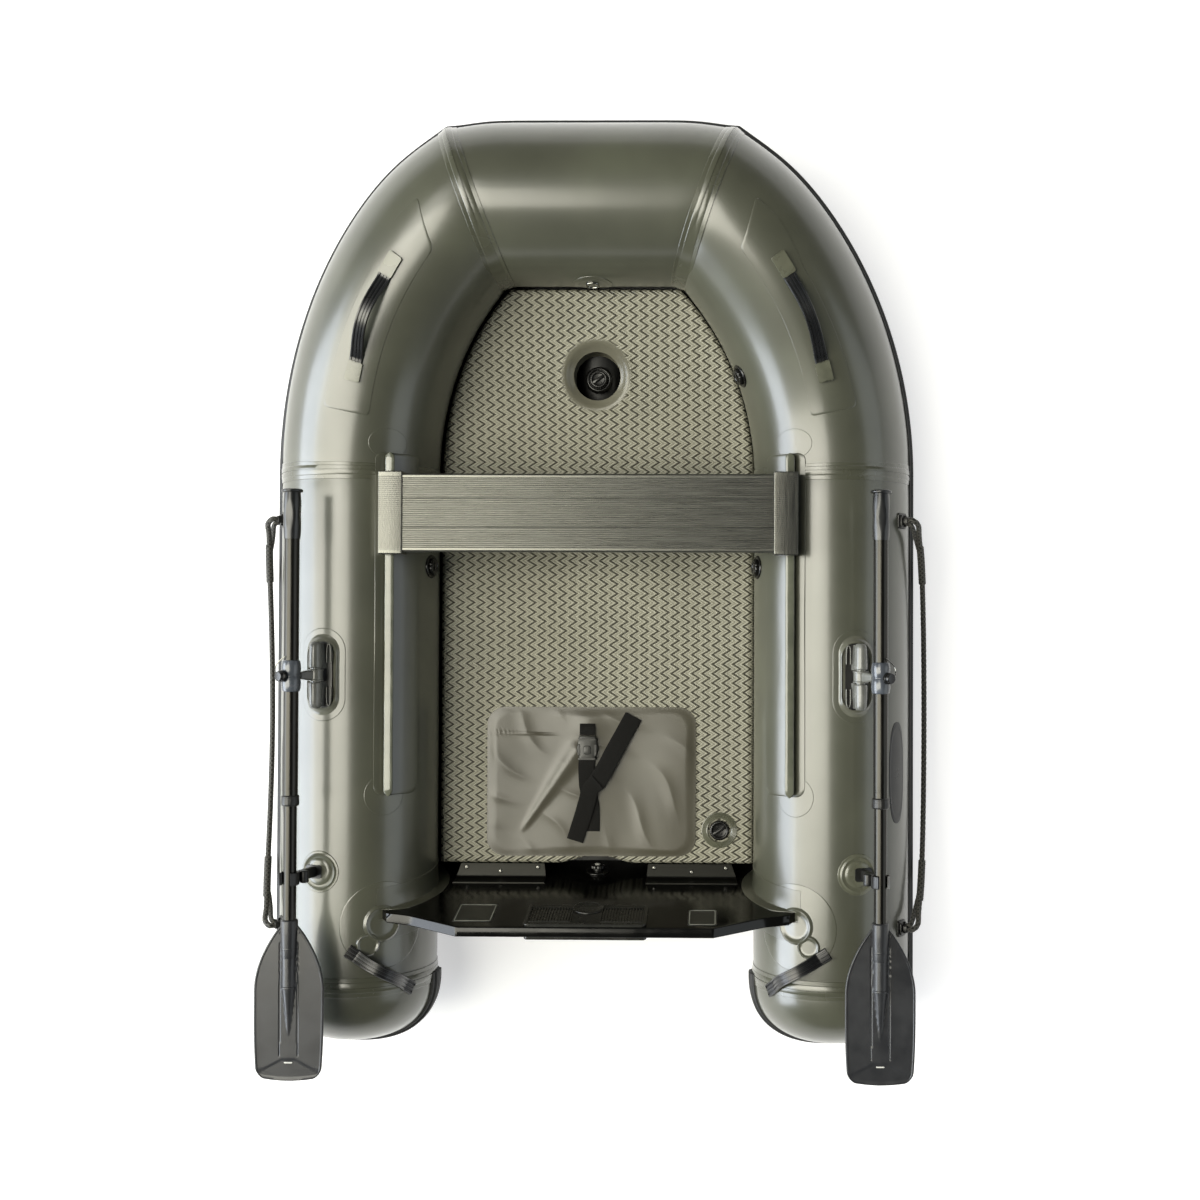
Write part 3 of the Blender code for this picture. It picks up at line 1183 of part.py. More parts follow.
def carry(name, location, pieces, parent=None):
    """An empty on a joint's axis that carries the pieces which move there."""
    pivot = bpy.data.objects.new(name, None)
    pivot.empty_display_size = 0.05
    COLLECTIONS["inflatable_boat"].objects.link(pivot)
    pivot.matrix_world = Matrix.Translation(location)
    bpy.context.view_layer.update()
    if parent is not None:
        pivot.parent = parent
        pivot.matrix_parent_inverse = parent.matrix_world.inverted()
    for piece in pieces:
        piece.parent = pivot
        piece.matrix_parent_inverse = Matrix.Translation(location).inverted()
    bpy.context.view_layer.update()
    return pivot


def carry_oar(side, axis, crossing, axle, upper, cap, lower):
    """The three pivots of one oar: the axle's, the pin's and the joint ring's."""
    swivel = carry(f"{side}_swivel_pivot", axis, [axle, cap])
    swing = carry(f"{side}_swing_pivot", crossing, upper, swivel)
    carry(f"{side}_twist_pivot", Vector((crossing.x, JOINT_RING_Y, crossing.z)), lower, swing)


def build():
    """Model every piece to starboard and on the middle line, then mirror the paired ones to port."""
    make_tubes()
    make_stern_cone()
    make_bottom_skin()
    make_keel_tube()
    make_air_deck()
    make_valves()
    make_tank_patch()
    make_rub_strake()
    make_transom()
    make_floor_bracket()
    plug = make_drain()
    make_seat_rail()
    plank, slider = make_seat()
    _, axle = make_oarlock()
    upper, cap, lower = make_oar()
    make_oar_clip()
    make_handles()
    make_rope_tabs()
    make_lifeline()
    bpy.context.view_layer.update()
    starboard = [piece for piece in COLLECTIONS["inflatable_boat"].objects
                 if piece.name.startswith("starboard_")]
    twins = {piece.name: port_twin(piece) for piece in starboard}
    axis, crossing = oarlock_axis()[0], oar_centre()
    carry_oar("starboard", axis, crossing, axle, upper, cap, lower)
    flip = Vector((-1.0, 1.0, 1.0))
    carry_oar("port", axis * flip, crossing * flip, twins[axle.name], [twins[p.name] for p in upper],
              twins[cap.name], [twins[p.name] for p in lower])
    carry("seat_slide", Vector((0.0, SEAT_CENTRE_Y, SEAT_TOP_Z)), [plank, slider, twins[slider.name]])
    carry("drain_plug_slide", Vector((0.0, transom_face_y(DRAIN_Z), DRAIN_Z)), [plug])


build()
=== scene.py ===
"""Looks of the inflatable boat: fabric, rubber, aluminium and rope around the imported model.

Metres, +X to starboard, +Y to the bow. Paired pieces are worked out to starboard, and a side of -1
mirrors them. Most pieces on the hull are given by how far they lie along the tube from its cross seam,
and by the angle round it: 0 is outboard, a quarter turn is the top, a half turn is inboard.
"""

import math

import bmesh
import bpy
import numpy as np
from mathutils import Matrix, Vector


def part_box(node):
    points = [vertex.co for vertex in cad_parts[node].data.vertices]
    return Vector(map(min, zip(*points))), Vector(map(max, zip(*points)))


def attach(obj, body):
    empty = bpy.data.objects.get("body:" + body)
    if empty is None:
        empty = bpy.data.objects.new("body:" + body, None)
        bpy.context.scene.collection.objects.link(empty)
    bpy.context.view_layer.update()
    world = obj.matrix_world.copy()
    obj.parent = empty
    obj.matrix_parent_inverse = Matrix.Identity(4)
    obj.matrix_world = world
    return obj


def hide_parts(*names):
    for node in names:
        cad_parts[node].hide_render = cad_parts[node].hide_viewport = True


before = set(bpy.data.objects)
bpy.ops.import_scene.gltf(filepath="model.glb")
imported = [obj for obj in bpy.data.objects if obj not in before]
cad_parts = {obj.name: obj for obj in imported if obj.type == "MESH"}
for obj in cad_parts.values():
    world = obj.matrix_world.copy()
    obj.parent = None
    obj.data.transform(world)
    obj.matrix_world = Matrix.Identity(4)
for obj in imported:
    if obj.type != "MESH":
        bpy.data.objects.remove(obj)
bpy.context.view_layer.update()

# The hull's measures, as in the part's source
TUBE_R = 0.170
HALF_SPACING = 0.520
SIDE_LENGTH = 1.088
CROSS_SEAM_Y = 0.256
QUARTER_R = 0.750
QUARTER_TURN = math.radians(50.0)
BOW_RISE = 0.100
CONE_LENGTH = 0.142
CONE_BLUNTNESS = 2.5
QUARTER_LENGTH = QUARTER_R * QUARTER_TURN
BOW_HALF = HALF_SPACING - QUARTER_R * (1.0 - math.cos(QUARTER_TURN))
BOW_Y = CROSS_SEAM_Y + QUARTER_R * math.sin(QUARTER_TURN)
BOW_ALONG = QUARTER_LENGTH + BOW_HALF
CONE_SEAM_Y = CROSS_SEAM_Y - SIDE_LENGTH
MITRE = (math.pi / 2 - QUARTER_TURN) / 2
SKIN_EDGE_ANGLE = math.radians(240.0)
SKIN_DIP = 0.0150
DECK_TOP_Z = 0.130
DECK_THICKNESS = 0.070
DECK_AFT_Y = -0.604
DECK_HOLE_Y = 0.483
DECK_HOLE_R = 0.052
SIDES = {"starboard": 1.0, "port": -1.0}

X_AXIS, Y_AXIS, Z_AXIS = np.eye(3)

# Numbers, lines and meshes


def ease(x):
    """0 to 1 with a level start and end: x squared times three less twice x."""
    x = np.clip(x, 0.0, 1.0)
    return x * x * (3.0 - 2.0 * x)


def bell(x, width):
    """A bell: e to the minus square of x over its width."""
    return np.exp(-(x / width) ** 2)


def unit(vectors):
    """The same vectors with a length of one."""
    return vectors / np.linalg.norm(vectors, axis=-1, keepdims=True)


def together(*arrays):
    """Arrays stretched to one shape and set side by side as coordinates."""
    return np.stack(np.broadcast_arrays(*arrays), axis=-1)


def full_turn(count):
    """Angles at even steps all the way round."""
    return np.linspace(0.0, 2 * np.pi, count, endpoint=False)


def quarter(count):
    """Angles at even steps from 0 to a quarter turn, both included."""
    return np.linspace(0.0, np.pi / 2, count)


def mirrored(points, side):
    """The same points on the other side when side is -1."""
    return points * np.array([side, 1.0, 1.0])


def run_along(line):
    """How long a line is from its start to each of its points."""
    return np.concatenate([[0.0], np.cumsum(np.linalg.norm(np.diff(line, axis=0), axis=1))])


def even_steps(line, count, closed=False):
    """Points at even steps along a line or round an outline, on the straights between its own points."""
    if closed:
        line = np.vstack([line, line[:1]])
    run = run_along(line)
    wanted = np.linspace(0.0, run[-1], count, endpoint=not closed)
    return np.stack([np.interp(wanted, run, values) for values in line.T], axis=1)


def circle(radius, count=12):
    """The outline of a circle."""
    turn = full_turn(count)
    return radius * np.stack([np.cos(turn), np.sin(turn)], axis=1)


def oblong(half_x, half_y, radius, steps=6):
    """The outline of a rectangle with round corners: a quarter circle for each, anticlockwise."""
    corners = []
    for number, (sx, sy) in enumerate(((1, 1), (-1, 1), (-1, -1), (1, -1))):
        angle = quarter(steps) + number * np.pi / 2
        middle = np.array([sx * (half_x - radius), sy * (half_y - radius)])
        corners.append(middle + radius * np.stack([np.cos(angle), np.sin(angle)], axis=1))
    return np.concatenate(corners)


def even_oblong(half_x, half_y, radius, steps=10, count=160):
    """The outline of a rectangle with round corners, its points at even steps."""
    return even_steps(oblong(half_x, half_y, radius, steps), count, closed=True)


def rounded(profile, radius, steps=4):
    """A profile with its inner corners rounded: each corner becomes a quadratic curve."""
    profile = [np.array(p, float) for p in profile]
    out = [profile[0]]
    for before, corner, after in zip(profile, profile[1:], profile[2:]):
        ends = []
        for other in (before, after):
            length = max(np.linalg.norm(other - corner), 1e-9)
            ends.append(corner + (other - corner) / length * min(radius, 0.45 * length))
        for t in np.linspace(0.0, 1.0, steps):
            out.append((1 - t) ** 2 * ends[0] + 2 * t * (1 - t) * corner + t ** 2 * ends[1])
    return np.array(out + [profile[-1]])


def smooth_path(points, count):
    """Points at even steps along a smooth curve through a few points: a Catmull-Rom spline."""
    points = np.array(points, float)
    padded = np.vstack([2 * points[0] - points[1], points, 2 * points[-1] - points[-2]])
    t = np.linspace(0.0, 1.0, 16, endpoint=False)[:, None]
    fine = []
    for a, b, c, d in zip(padded, padded[1:], padded[2:], padded[3:]):
        fine.append(0.5 * (2 * b + (c - a) * t + (2 * a - 5 * b + 4 * c - d) * t ** 2
                           + (3 * b - a - 3 * c + d) * t ** 3))
    return even_steps(np.vstack(fine + [points[-1:]]), count)


def along_path(path, up_hint):
    """Across and up vectors of a path: across is its direction crossed with the hint, up completes them."""
    direction = unit(np.gradient(path, axis=0))
    across = unit(np.cross(direction, np.broadcast_to(up_hint, path.shape)))
    return across, np.cross(across, direction)


def axes(origin, z_axis, x_axis):
    """A function that places (x, y, z) at an origin with these axes; y completes them."""
    z_axis = unit(np.array(z_axis, float))
    x_axis = unit(np.array(x_axis, float) - z_axis * np.dot(x_axis, z_axis))
    basis = np.array([x_axis, np.cross(z_axis, x_axis), z_axis])
    return lambda points: np.array(origin, float) + np.asarray(points, float) @ basis


def grid_faces(rows, columns, wrap_rows=False, wrap_columns=False):
    """Corner numbers of the quads between neighbouring rows and columns of a grid of points."""
    i = np.arange(rows if wrap_rows else rows - 1)[:, None]
    j = np.arange(columns if wrap_columns else columns - 1)[None, :]
    down, right = (i + 1) % rows, (j + 1) % columns
    corners = (i * columns + j, i * columns + right, down * columns + right, down * columns + j)
    return together(*corners).reshape(-1, 4)


def piece(name, parts, material, body="boat", side=1.0, uv=None, replaces=(), slot=None, sharp=30.0):
    """Join grids of points into one closed piece: equal points merge, and faces turn outwards.

    Each part is (points, wrap_rows, wrap_columns) with points shaped (rows, columns, 3), and may add
    which faces it keeps; uv gives an array (rows, columns, 2) for each part, in metres.
    """
    weld = 2e-5
    points, faces, places, count = [], [], [], 0
    for number, (grid, wrap_rows, wrap_columns, *kept) in enumerate(parts):
        rows, columns = grid.shape[:2]
        points.append(mirrored(grid.reshape(-1, 3), side))
        quads = grid_faces(rows, columns, wrap_rows, wrap_columns)
        faces.append((quads[kept[0].ravel()] if kept else quads) + count)
        if uv is not None:
            places.append(np.broadcast_to(uv[number], (rows, columns, 2)).reshape(-1, 2))
        count += rows * columns
    points, faces = np.concatenate(points), np.concatenate(faces)
    mesh = bpy.data.meshes.new(name)
    mesh.from_pydata(points, [], faces)
    if uv is not None:
        layer = mesh.uv_layers.new(name="UVMap")
        layer.data.foreach_set("uv", np.concatenate(places)[faces.ravel()].astype(np.float32).ravel())
    builder = bmesh.new()
    builder.from_mesh(mesh)
    bmesh.ops.remove_doubles(builder, verts=builder.verts, dist=weld)
    bmesh.ops.dissolve_degenerate(builder, edges=builder.edges, dist=weld / 2)
    bmesh.ops.recalc_face_normals(builder, faces=builder.faces)
    builder.to_mesh(mesh)
    builder.free()
    mesh.shade_smooth()
    mesh.set_sharp_from_angle(angle=math.radians(sharp))
    thing = bpy.data.objects.new(name, mesh)
    bpy.context.scene.collection.objects.link(thing)
    mesh.materials.append(material)
    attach(thing, body)
    if replaces:
        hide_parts(*([replaces] if isinstance(replaces, str) else replaces))
    return thing


def capped(grid, folded=False):
    """The grid with a row more at both ends: its middle, or points half-way across a thin section."""
    ends = [(row + row[:, ::-1]) / 2 if folded
            else np.broadcast_to(row.mean(axis=1, keepdims=True), row.shape)
            for row in (grid[:1], grid[-1:])]
    return np.concatenate([ends[0], grid, ends[1]])


def repeated_ends(grid):
    """The grid with its first and last rows twice: the UV of a capped part."""
    return np.concatenate([grid[:1], grid, grid[-1:]])


def scaled(outline, width, height):
    """An outline for each place of a path: its x times a width and its y times a height."""
    return outline[None] * together(width, height)[:, None]


def swept(path, across, up, section, closed=False):
    """A section carried along a path: point i, j is path i plus across i by section x plus up i by y."""
    section = np.broadcast_to(section, (len(path), *np.shape(section)[-2:]))
    across, up = (np.broadcast_to(vector, path.shape)[:, None] for vector in (across, up))
    grid = path[:, None] + across * section[..., :1] + up * section[..., 1:]
    return grid if closed else capped(grid), False, True


def turned(profile, origin, axis, steps=48, flutes=(0, 0.0), closed=False):
    """A lathe shape: radius and height of the profile carried round an axis through an origin.

    flutes is how many grooves run down its outer side, and how deep: the radius swings as a cosine.
    """
    profile = np.array(profile, float)
    axis = unit(np.array(axis, float))
    first = unit(np.cross(Z_AXIS if abs(axis[2]) < 0.9 else X_AXIS, axis))
    second = np.cross(axis, first)
    turn = full_turn(steps)
    ring = np.cos(turn)[:, None] * first + np.sin(turn)[:, None] * second
    swing = flutes[1] * 0.5 * (np.cos(flutes[0] * turn) - 1.0)
    outer = profile[:, 0] > 0.8 * profile[:, 0].max()
    radius = profile[:, :1] + outer[:, None] * swing[None]
    grid = np.array(origin, float) + profile[:, None, 1:] * axis + radius[..., None] * ring[None]
    return grid, closed, True


def slab(outline, low, high, bevel, place, crown=0.0):
    """A plate from an outline: rows run from its lower middle, round a rolled edge, to its upper middle.

    place turns (x, y, height) into world points; the top is lifted by the crown times one less the
    square of the share of the way out.
    """
    outline = np.array(outline, float)
    centre = outline.mean(axis=0)
    reach = np.linalg.norm(outline - centre, axis=1, keepdims=True)
    roll = quarter(4)
    insets = np.concatenate([bevel * (1 - np.sin(roll)), bevel * (1 - np.cos(roll))])
    heights = np.concatenate([low + bevel * (1 - np.cos(roll)), high - bevel * (1 - np.sin(roll))])
    rows = [(share + 0 * reach, low) for share in (0.0, 0.5)]
    rows += [((reach - inset) / reach, height) for inset, height in zip(insets, heights)]
    rows += [(share + 0 * reach, high) for share in (0.8, 0.6, 0.4, 0.2, 0.0)]
    middle = (low + high) / 2
    grid = [np.concatenate([centre + (outline - centre) * share,
                            height + crown * (height > middle) * (1 - share ** 2)], axis=1)
            for share, height in rows]
    return place(np.array(grid)), False, True


# The hull's tubes as functions of length and angle


def bow_rise(turn):
    """How far the bow has lifted the tube after a turn: the bow's rise times the eased share of the turn."""
    return BOW_RISE * ease(turn / QUARTER_TURN)


def tube_frame(along):
    """Centre, direction, outboard and up of the starboard tube at lengths past its cross seam."""
    along = np.asarray(along, float)
    turn = np.clip(along, 0.0, QUARTER_LENGTH) / QUARTER_R
    share = turn / QUARTER_TURN
    slope = BOW_RISE * 6.0 * share * (1.0 - share) / QUARTER_LENGTH
    outboard = together(np.cos(turn), np.sin(turn), 0.0)
    direction = unit(together(-np.sin(turn), np.cos(turn), slope))
    centre = outboard * QUARTER_R + together(
        HALF_SPACING - QUARTER_R, CROSS_SEAM_Y, TUBE_R + bow_rise(turn))
    centre[..., 1] += np.minimum(along, 0.0)
    centre[..., 0] -= np.maximum(along - QUARTER_LENGTH, 0.0)
    beyond = (along > QUARTER_LENGTH)[..., None]
    direction = np.where(beyond, -X_AXIS, direction)
    outboard = np.where(beyond, Y_AXIS, outboard)
    return centre, direction, outboard, np.cross(outboard, direction)


def on_tube(along, angle, lift=0.0):
    """Points on the tube: centre plus radius and lift, times outboard by cosine and up by sine."""
    along, angle, lift = np.broadcast_arrays(np.asarray(along, float), angle, lift)
    centre, _, outboard, up = tube_frame(along)
    spoke = outboard * np.cos(angle)[..., None] + up * np.sin(angle)[..., None]
    return centre + spoke * (TUBE_R + lift)[..., None]


def mitre_slide(along, angle, lift=0.0):
    """How far a ring's points slide along their own tube to reach the mitre between quarter and bow."""
    corner, into, _, _ = tube_frame(QUARTER_LENGTH)
    plane = unit(into - X_AXIS)
    direction = tube_frame(along)[1]
    points = on_tube(along, angle, lift)
    return ((corner - points) @ plane) / (direction @ plane), direction


def at_mitre(along, angle, lift, setback):
    """Rings near the mitre: each is slid to the mitre plane and then set back along its own tube."""
    slide, direction = mitre_slide(along, angle, lift)
    return on_tube(along, angle, lift) + direction * (slide - setback)[..., None]


def patch(name, outline, along, angle, material, side, thickness, edge, height=None, slot="hull_fabric",
          **rest):
    """A glued patch: its outline is filled by rows that step up at a rolled edge, down to its middle.

    outline is in metres along and round the tube, about a place at a length and an angle; height, if
    given, says how far each share of the way out is lifted. Its underside is sunk into the tube.
    """
    sink = 0.0006
    outline = outline + [along, angle * TUBE_R]
    centre = outline.mean(axis=0)
    reach = np.linalg.norm(outline - centre, axis=1, keepdims=True)
    steps = [(0.0, -sink), (edge * 0.25, thickness * 0.5), (edge * 0.6, thickness * 0.85), (edge, thickness)]
    rows = [centre + (outline - centre) * ((reach - inset) / reach) for inset, _ in steps]
    lifts = [lift for _, lift in steps]
    for share in (0.97, 0.945, 0.92, 0.895, 0.87, 0.84, 0.80, 0.75, 0.65, 0.55, 0.45, 0.3, 0.15, 0.07, 0.0):
        rows.append(centre + (outline - centre) * share)
        lifts.append(thickness + (height(share) if height else 0.0))
    rows = np.array(rows)
    back = rows[::-1][:-1]
    top = on_tube(rows[..., 0], rows[..., 1] / TUBE_R, np.array(lifts)[:, None])
    low = on_tube(back[..., 0], back[..., 1] / TUBE_R, -sink)
    return piece(name, [(np.concatenate([top, low]), True, True)], material, side=side,
                 uv=[np.concatenate([rows, back])], slot=slot, **rest)


# Materials


def linear(hex_colour):
    """An sRGB hex colour as linear red, green, blue and alpha."""
    channels = [int(hex_colour[i:i + 2], 16) / 255 for i in (1, 3, 5)]
    return (*[c / 12.92 if c <= 0.04045 else ((c + 0.055) / 1.055) ** 2.4 for c in channels], 1.0)


def shade(hex_colour, factor):
    """The same hex colour with each channel made darker or lighter by a factor."""
    return "#" + "".join(f"{min(int(int(hex_colour[i:i + 2], 16) * factor), 255):02x}" for i in (1, 3, 5))


def wire(tree, node, sockets):
    """Give a node's sockets their values, or links from other nodes."""
    for key, value in sockets.items():
        value = value.outputs[0] if isinstance(value, bpy.types.Node) else value
        if isinstance(value, bpy.types.NodeSocket):
            tree.links.new(value, node.inputs[key])
        else:
            node.inputs[key].default_value = value


def add(tree, kind, sockets=None, stops=(), **settings):
    """Add a node with its own settings, its sockets' values or links, and a colour ramp's stops.

    A stop is a place from 0 to 1, and a grey value or a hex colour.
    """
    node = tree.nodes.new("ShaderNode" + kind)
    for key, value in settings.items():
        setattr(node, key, value)
    wire(tree, node, sockets or {})
    if stops:
        elements = node.color_ramp.elements
        while len(elements) < len(stops):
            elements.new(0.5)
        for element, (place, colour) in zip(elements, stops):
            element.position = place
            element.color = linear(colour) if isinstance(colour, str) else (colour, colour, colour, 1.0)
    return node


def surface(name, colour, roughness, **sockets):
    """A Principled material with plain values on its own sockets: it, its nodes, shader and coordinates."""
    material = bpy.data.materials.new(name)
    material.use_nodes = True
    tree = material.node_tree
    shader = tree.nodes["Principled BSDF"]
    wire(tree, shader, {"Base Color": linear(colour), "Roughness": roughness})
    wire(tree, shader, {key.replace("_", " ").title().replace("Ior", "IOR"): value
                        for key, value in sockets.items()})
    return material, tree, shader, add(tree, "TexCoord").outputs


# A wave texture's bands are 314 mm apart at a scale of 1, so these stand 1.6 mm apart: the real threads
# of 1 mm are too fine to show
THREAD_SCALE = 196.0


def coated_fabric(name, colour, roughness, spread, strength, gloss_coat=0.9):
    """PVC-coated polyester, calendered: a satin skin over a weave that only just prints through.

    Colour and gloss drift softly from place to place; the skin sways where the tube is not quite tight.
    """
    material, tree, shader, where = surface(name, colour, roughness, Coat_Weight=gloss_coat,
                                            Coat_Roughness=0.20)
    spot, sheet = where["Object"], where["UV"]
    clouds = add(tree, "TexNoise", {"Vector": spot, "Scale": 5.0, "Detail": 3.0})
    low, high = (shade(colour, factor) for factor in (1.0 - spread, 1.0 + spread))
    tint = add(tree, "ValToRGB", {"Fac": clouds}, [(0.30, low), (0.55, colour), (0.75, high)])
    smears = add(tree, "TexNoise", {"Vector": spot, "Scale": 14.0, "Detail": 4.0})
    gloss = add(tree, "MapRange", {"Value": smears, "To Min": roughness - 0.04, "To Max": roughness + 0.05})
    warp = add(tree, "TexWave", {"Vector": sheet, "Scale": THREAD_SCALE}, bands_direction="X")
    weft = add(tree, "TexWave", {"Vector": sheet, "Scale": THREAD_SCALE}, bands_direction="Y")
    woven = add(tree, "Math", {0: warp, 1: weft}, operation="MULTIPLY")
    weave = add(tree, "Bump", {"Height": woven, "Strength": strength, "Distance": 0.0003})
    slack = add(tree, "TexNoise", {"Vector": spot, "Scale": 9.0, "Detail": 2.0})
    sway = add(tree, "Bump", {"Height": slack, "Strength": 0.15, "Distance": 0.004, "Normal": weave})
    wire(tree, shader, {"Base Color": tint, "Roughness": gloss, "Normal": sway})
    return material


def moulded(name, colour, roughness, grain, strength, **sockets):
    """A moulded part: an even colour, gloss worn a little uneven, and a grain of some millimetres."""
    material, tree, shader, where = surface(name, colour, roughness, **sockets)
    wear = add(tree, "TexNoise", {"Vector": where["Object"], "Scale": 22.0, "Detail": 5.0})
    gloss = add(tree, "MapRange", {"Value": wear, "From Min": 0.3, "From Max": 0.7,
                                   "To Min": roughness - 0.05, "To Max": roughness + 0.07})
    tint = add(tree, "ValToRGB", {"Fac": wear}, [(0.35, shade(colour, 0.92)), (0.65, shade(colour, 1.10))])
    pores = add(tree, "TexNoise", {"Vector": where["Object"], "Scale": 1000.0 / grain, "Detail": 2.0})
    bump = add(tree, "Bump", {"Height": pores, "Strength": strength, "Distance": 0.0004})
    wire(tree, shader, {"Base Color": tint, "Roughness": gloss, "Normal": bump})
    return material


def drawn_metal(name, colour, roughness, along, strength=0.12, metallic=1.0):
    """Extruded or drawn aluminium: fine die lines run along one axis and the gloss follows them.

    along holds the noise's scale on each axis: low on the axis that the lines run along.
    """
    material, tree, shader, where = surface(name, colour, roughness, Metallic=metallic)
    stretched = add(tree, "Mapping", {"Vector": where["Object"], "Scale": along})
    lines = add(tree, "TexNoise", {"Vector": stretched, "Scale": 1.0, "Detail": 4.0})
    gloss = add(tree, "MapRange", {"Value": lines, "From Min": 0.3, "From Max": 0.7,
                                   "To Min": roughness - 0.06, "To Max": roughness + 0.08})
    tint = add(tree, "ValToRGB", {"Fac": lines}, [(0.30, shade(colour, 0.90)), (0.70, shade(colour, 1.08))])
    bump = add(tree, "Bump", {"Height": lines, "Strength": strength, "Distance": 0.0002})
    wire(tree, shader, {"Base Color": tint, "Roughness": gloss, "Normal": bump})
    return material


def woven_webbing():
    """Polypropylene webbing: ribs across it 1.6 mm apart, each broken into threads 2.5 mm long."""
    material, tree, shader, where = surface("woven_polypropylene_webbing", "#191815", 0.62,
                                            Specular_IOR_Level=0.15, Sheen_Weight=0.02, Sheen_Roughness=0.5)
    ribs = add(tree, "TexWave", {"Vector": where["UV"], "Scale": THREAD_SCALE}, bands_direction="X")
    rows = add(tree, "TexWave", {"Vector": where["UV"], "Scale": 125.0}, bands_direction="Y")
    woven = add(tree, "Math", {0: ribs, 1: rows}, operation="MULTIPLY")
    tint = add(tree, "ValToRGB", {"Fac": woven}, [(0.0, "#080807"), (0.6, "#131210"), (1.0, "#24221e")])
    bump = add(tree, "Bump", {"Height": woven, "Strength": 0.6, "Distance": 0.0006})
    wire(tree, shader, {"Base Color": tint, "Normal": bump})
    return material


def braided_rope():
    """Braided polypropylene: strands cross at 45 degrees in plaits 5 mm long, with single dusty fibres."""
    material, tree, shader, where = surface("braided_polypropylene_rope", "#201f1d", 0.60, Sheen_Weight=0.2,
                                            Sheen_Roughness=0.5)
    one = add(tree, "TexWave", {"Vector": where["UV"], "Scale": 62.0}, bands_direction="DIAGONAL")
    flipped = add(tree, "Mapping", {"Vector": where["UV"], "Scale": (1.0, -1.0, 1.0)})
    two = add(tree, "TexWave", {"Vector": flipped, "Scale": 62.0}, bands_direction="DIAGONAL")
    plait = add(tree, "Math", {0: one, 1: two}, operation="MAXIMUM")
    fibre = add(tree, "TexNoise", {"Vector": where["UV"], "Scale": 900.0, "Detail": 2.0})
    mixed = add(tree, "Math", {0: fibre, 1: 0.35, 2: plait}, operation="MULTIPLY_ADD")
    tint = add(tree, "ValToRGB", {"Fac": mixed}, [(0.45, "#0c0c0b"), (0.85, "#272623"), (1.0, "#4a4944")])
    bump = add(tree, "Bump", {"Height": mixed, "Strength": 0.5, "Distance": 0.0008})
    wire(tree, shader, {"Base Color": tint, "Normal": bump})
    return material


def embossed_deck():
    """Drop-stitch PVC, embossed while hot: sharp zigzag ridges 11.5 mm apart that run fore and aft.

    A ridge's place is x plus a triangle wave of y, 17 mm wide and 21 mm long; every second ridge is
    higher. The colour darkens the valleys as painted shade and lightens the crests as a painted
    highlight. Round the hole the sheet is smooth and a little glossy.
    """
    long, wide, apart = 0.0105, 0.0170, 0.0115
    material, tree, shader, where = surface("embossed_pvc_deck_fabric", "#77756a", 0.50, Coat_Weight=0.08,
                                            Coat_Roughness=0.35)
    split = add(tree, "SeparateXYZ", {"Vector": where["Object"]}).outputs
    zigzag = add(tree, "Math", {0: split["Y"], 1: long}, operation="PINGPONG")
    lean = add(tree, "Math", {0: zigzag, 1: wide / long, 2: split["X"]}, operation="MULTIPLY_ADD")
    sharp, broad = (add(tree, "MapRange", {"Value": add(tree, "Math", {0: lean, 1: wave},
                                                        operation="PINGPONG"),
                                           "From Max": wave, "To Max": high},
                        interpolation_type="SMOOTHSTEP")
                    for wave, high in ((apart / 2, 1.0), (apart, 0.7)))
    ridges = add(tree, "Math", {0: sharp, 1: broad}, operation="ADD")
    # Smooth round the hole: the share grows from 74 to 82 mm from its middle
    level = add(tree, "VectorMath", {0: where["Object"], 1: (1.0, 1.0, 0.0)}, operation="MULTIPLY")
    away = add(tree, "VectorMath", {0: level, 1: (0.0, DECK_HOLE_Y, 0.0)}, operation="DISTANCE")
    open_deck = add(tree, "MapRange", {"Value": away.outputs["Value"], "From Min": 0.074, "From Max": 0.082})
    height = add(tree, "Math", {0: ridges, 1: open_deck}, operation="MULTIPLY")
    clouds = add(tree, "TexNoise", {"Vector": where["Object"], "Scale": 7.0, "Detail": 4.0})
    # Painted shade in the valleys and a painted highlight on the crests, set by the ridges' height
    tint = add(tree, "ValToRGB", {"Fac": ridges}, [(0.10, "#322f27"), (0.50, "#696758"), (1.0, "#aaa897")])
    masked = add(tree, "Mix", {0: open_deck, 6: linear("#6c6a5c"), 7: tint}, data_type="RGBA")
    shadow = add(tree, "ValToRGB", {"Fac": clouds}, [(0.30, 0.86), (0.70, 1.0)])
    colour = add(tree, "Mix", {0: 1.0, 6: masked.outputs[2], 7: shadow}, data_type="RGBA",
                 blend_type="MULTIPLY")
    gloss = add(tree, "MapRange", {"Value": open_deck, "To Min": 0.26, "To Max": 0.50})
    bump = add(tree, "Bump", {"Height": height, "Strength": 1.0, "Distance": 0.0016})
    wire(tree, shader, {"Base Color": colour.outputs[2], "Roughness": gloss, "Normal": bump})
    return material


# Coated fabrics and webbing: satin, soft-edged highlights
HULL_FABRIC = coated_fabric("pvc_coated_hull_fabric", "#4f5044", 0.34, 0.10, 0.05)
SEAM_TAPE = coated_fabric("pvc_seam_tape", "#4c4d40", 0.26, 0.08, 0.05)
BOTTOM_FABRIC = coated_fabric("black_pvc_bottom_fabric", "#141514", 0.42, 0.10, 0.12, gloss_coat=0.1)
DECK_FABRIC = embossed_deck()
PATCH_CLOTH = coated_fabric("pvc_tank_patch_cloth", "#4f4c41", 0.36, 0.07, 0.04, gloss_coat=0.3)
RING_PATCH = coated_fabric("pvc_reinforcement_patch", "#4e4f43", 0.32, 0.08, 0.05)
GLOSSY_PATCH = coated_fabric("pvc_polished_holder_patch", "#515246", 0.22, 0.08, 0.02, gloss_coat=1.0)
WEBBING = woven_webbing()
ROPE = braided_rope()
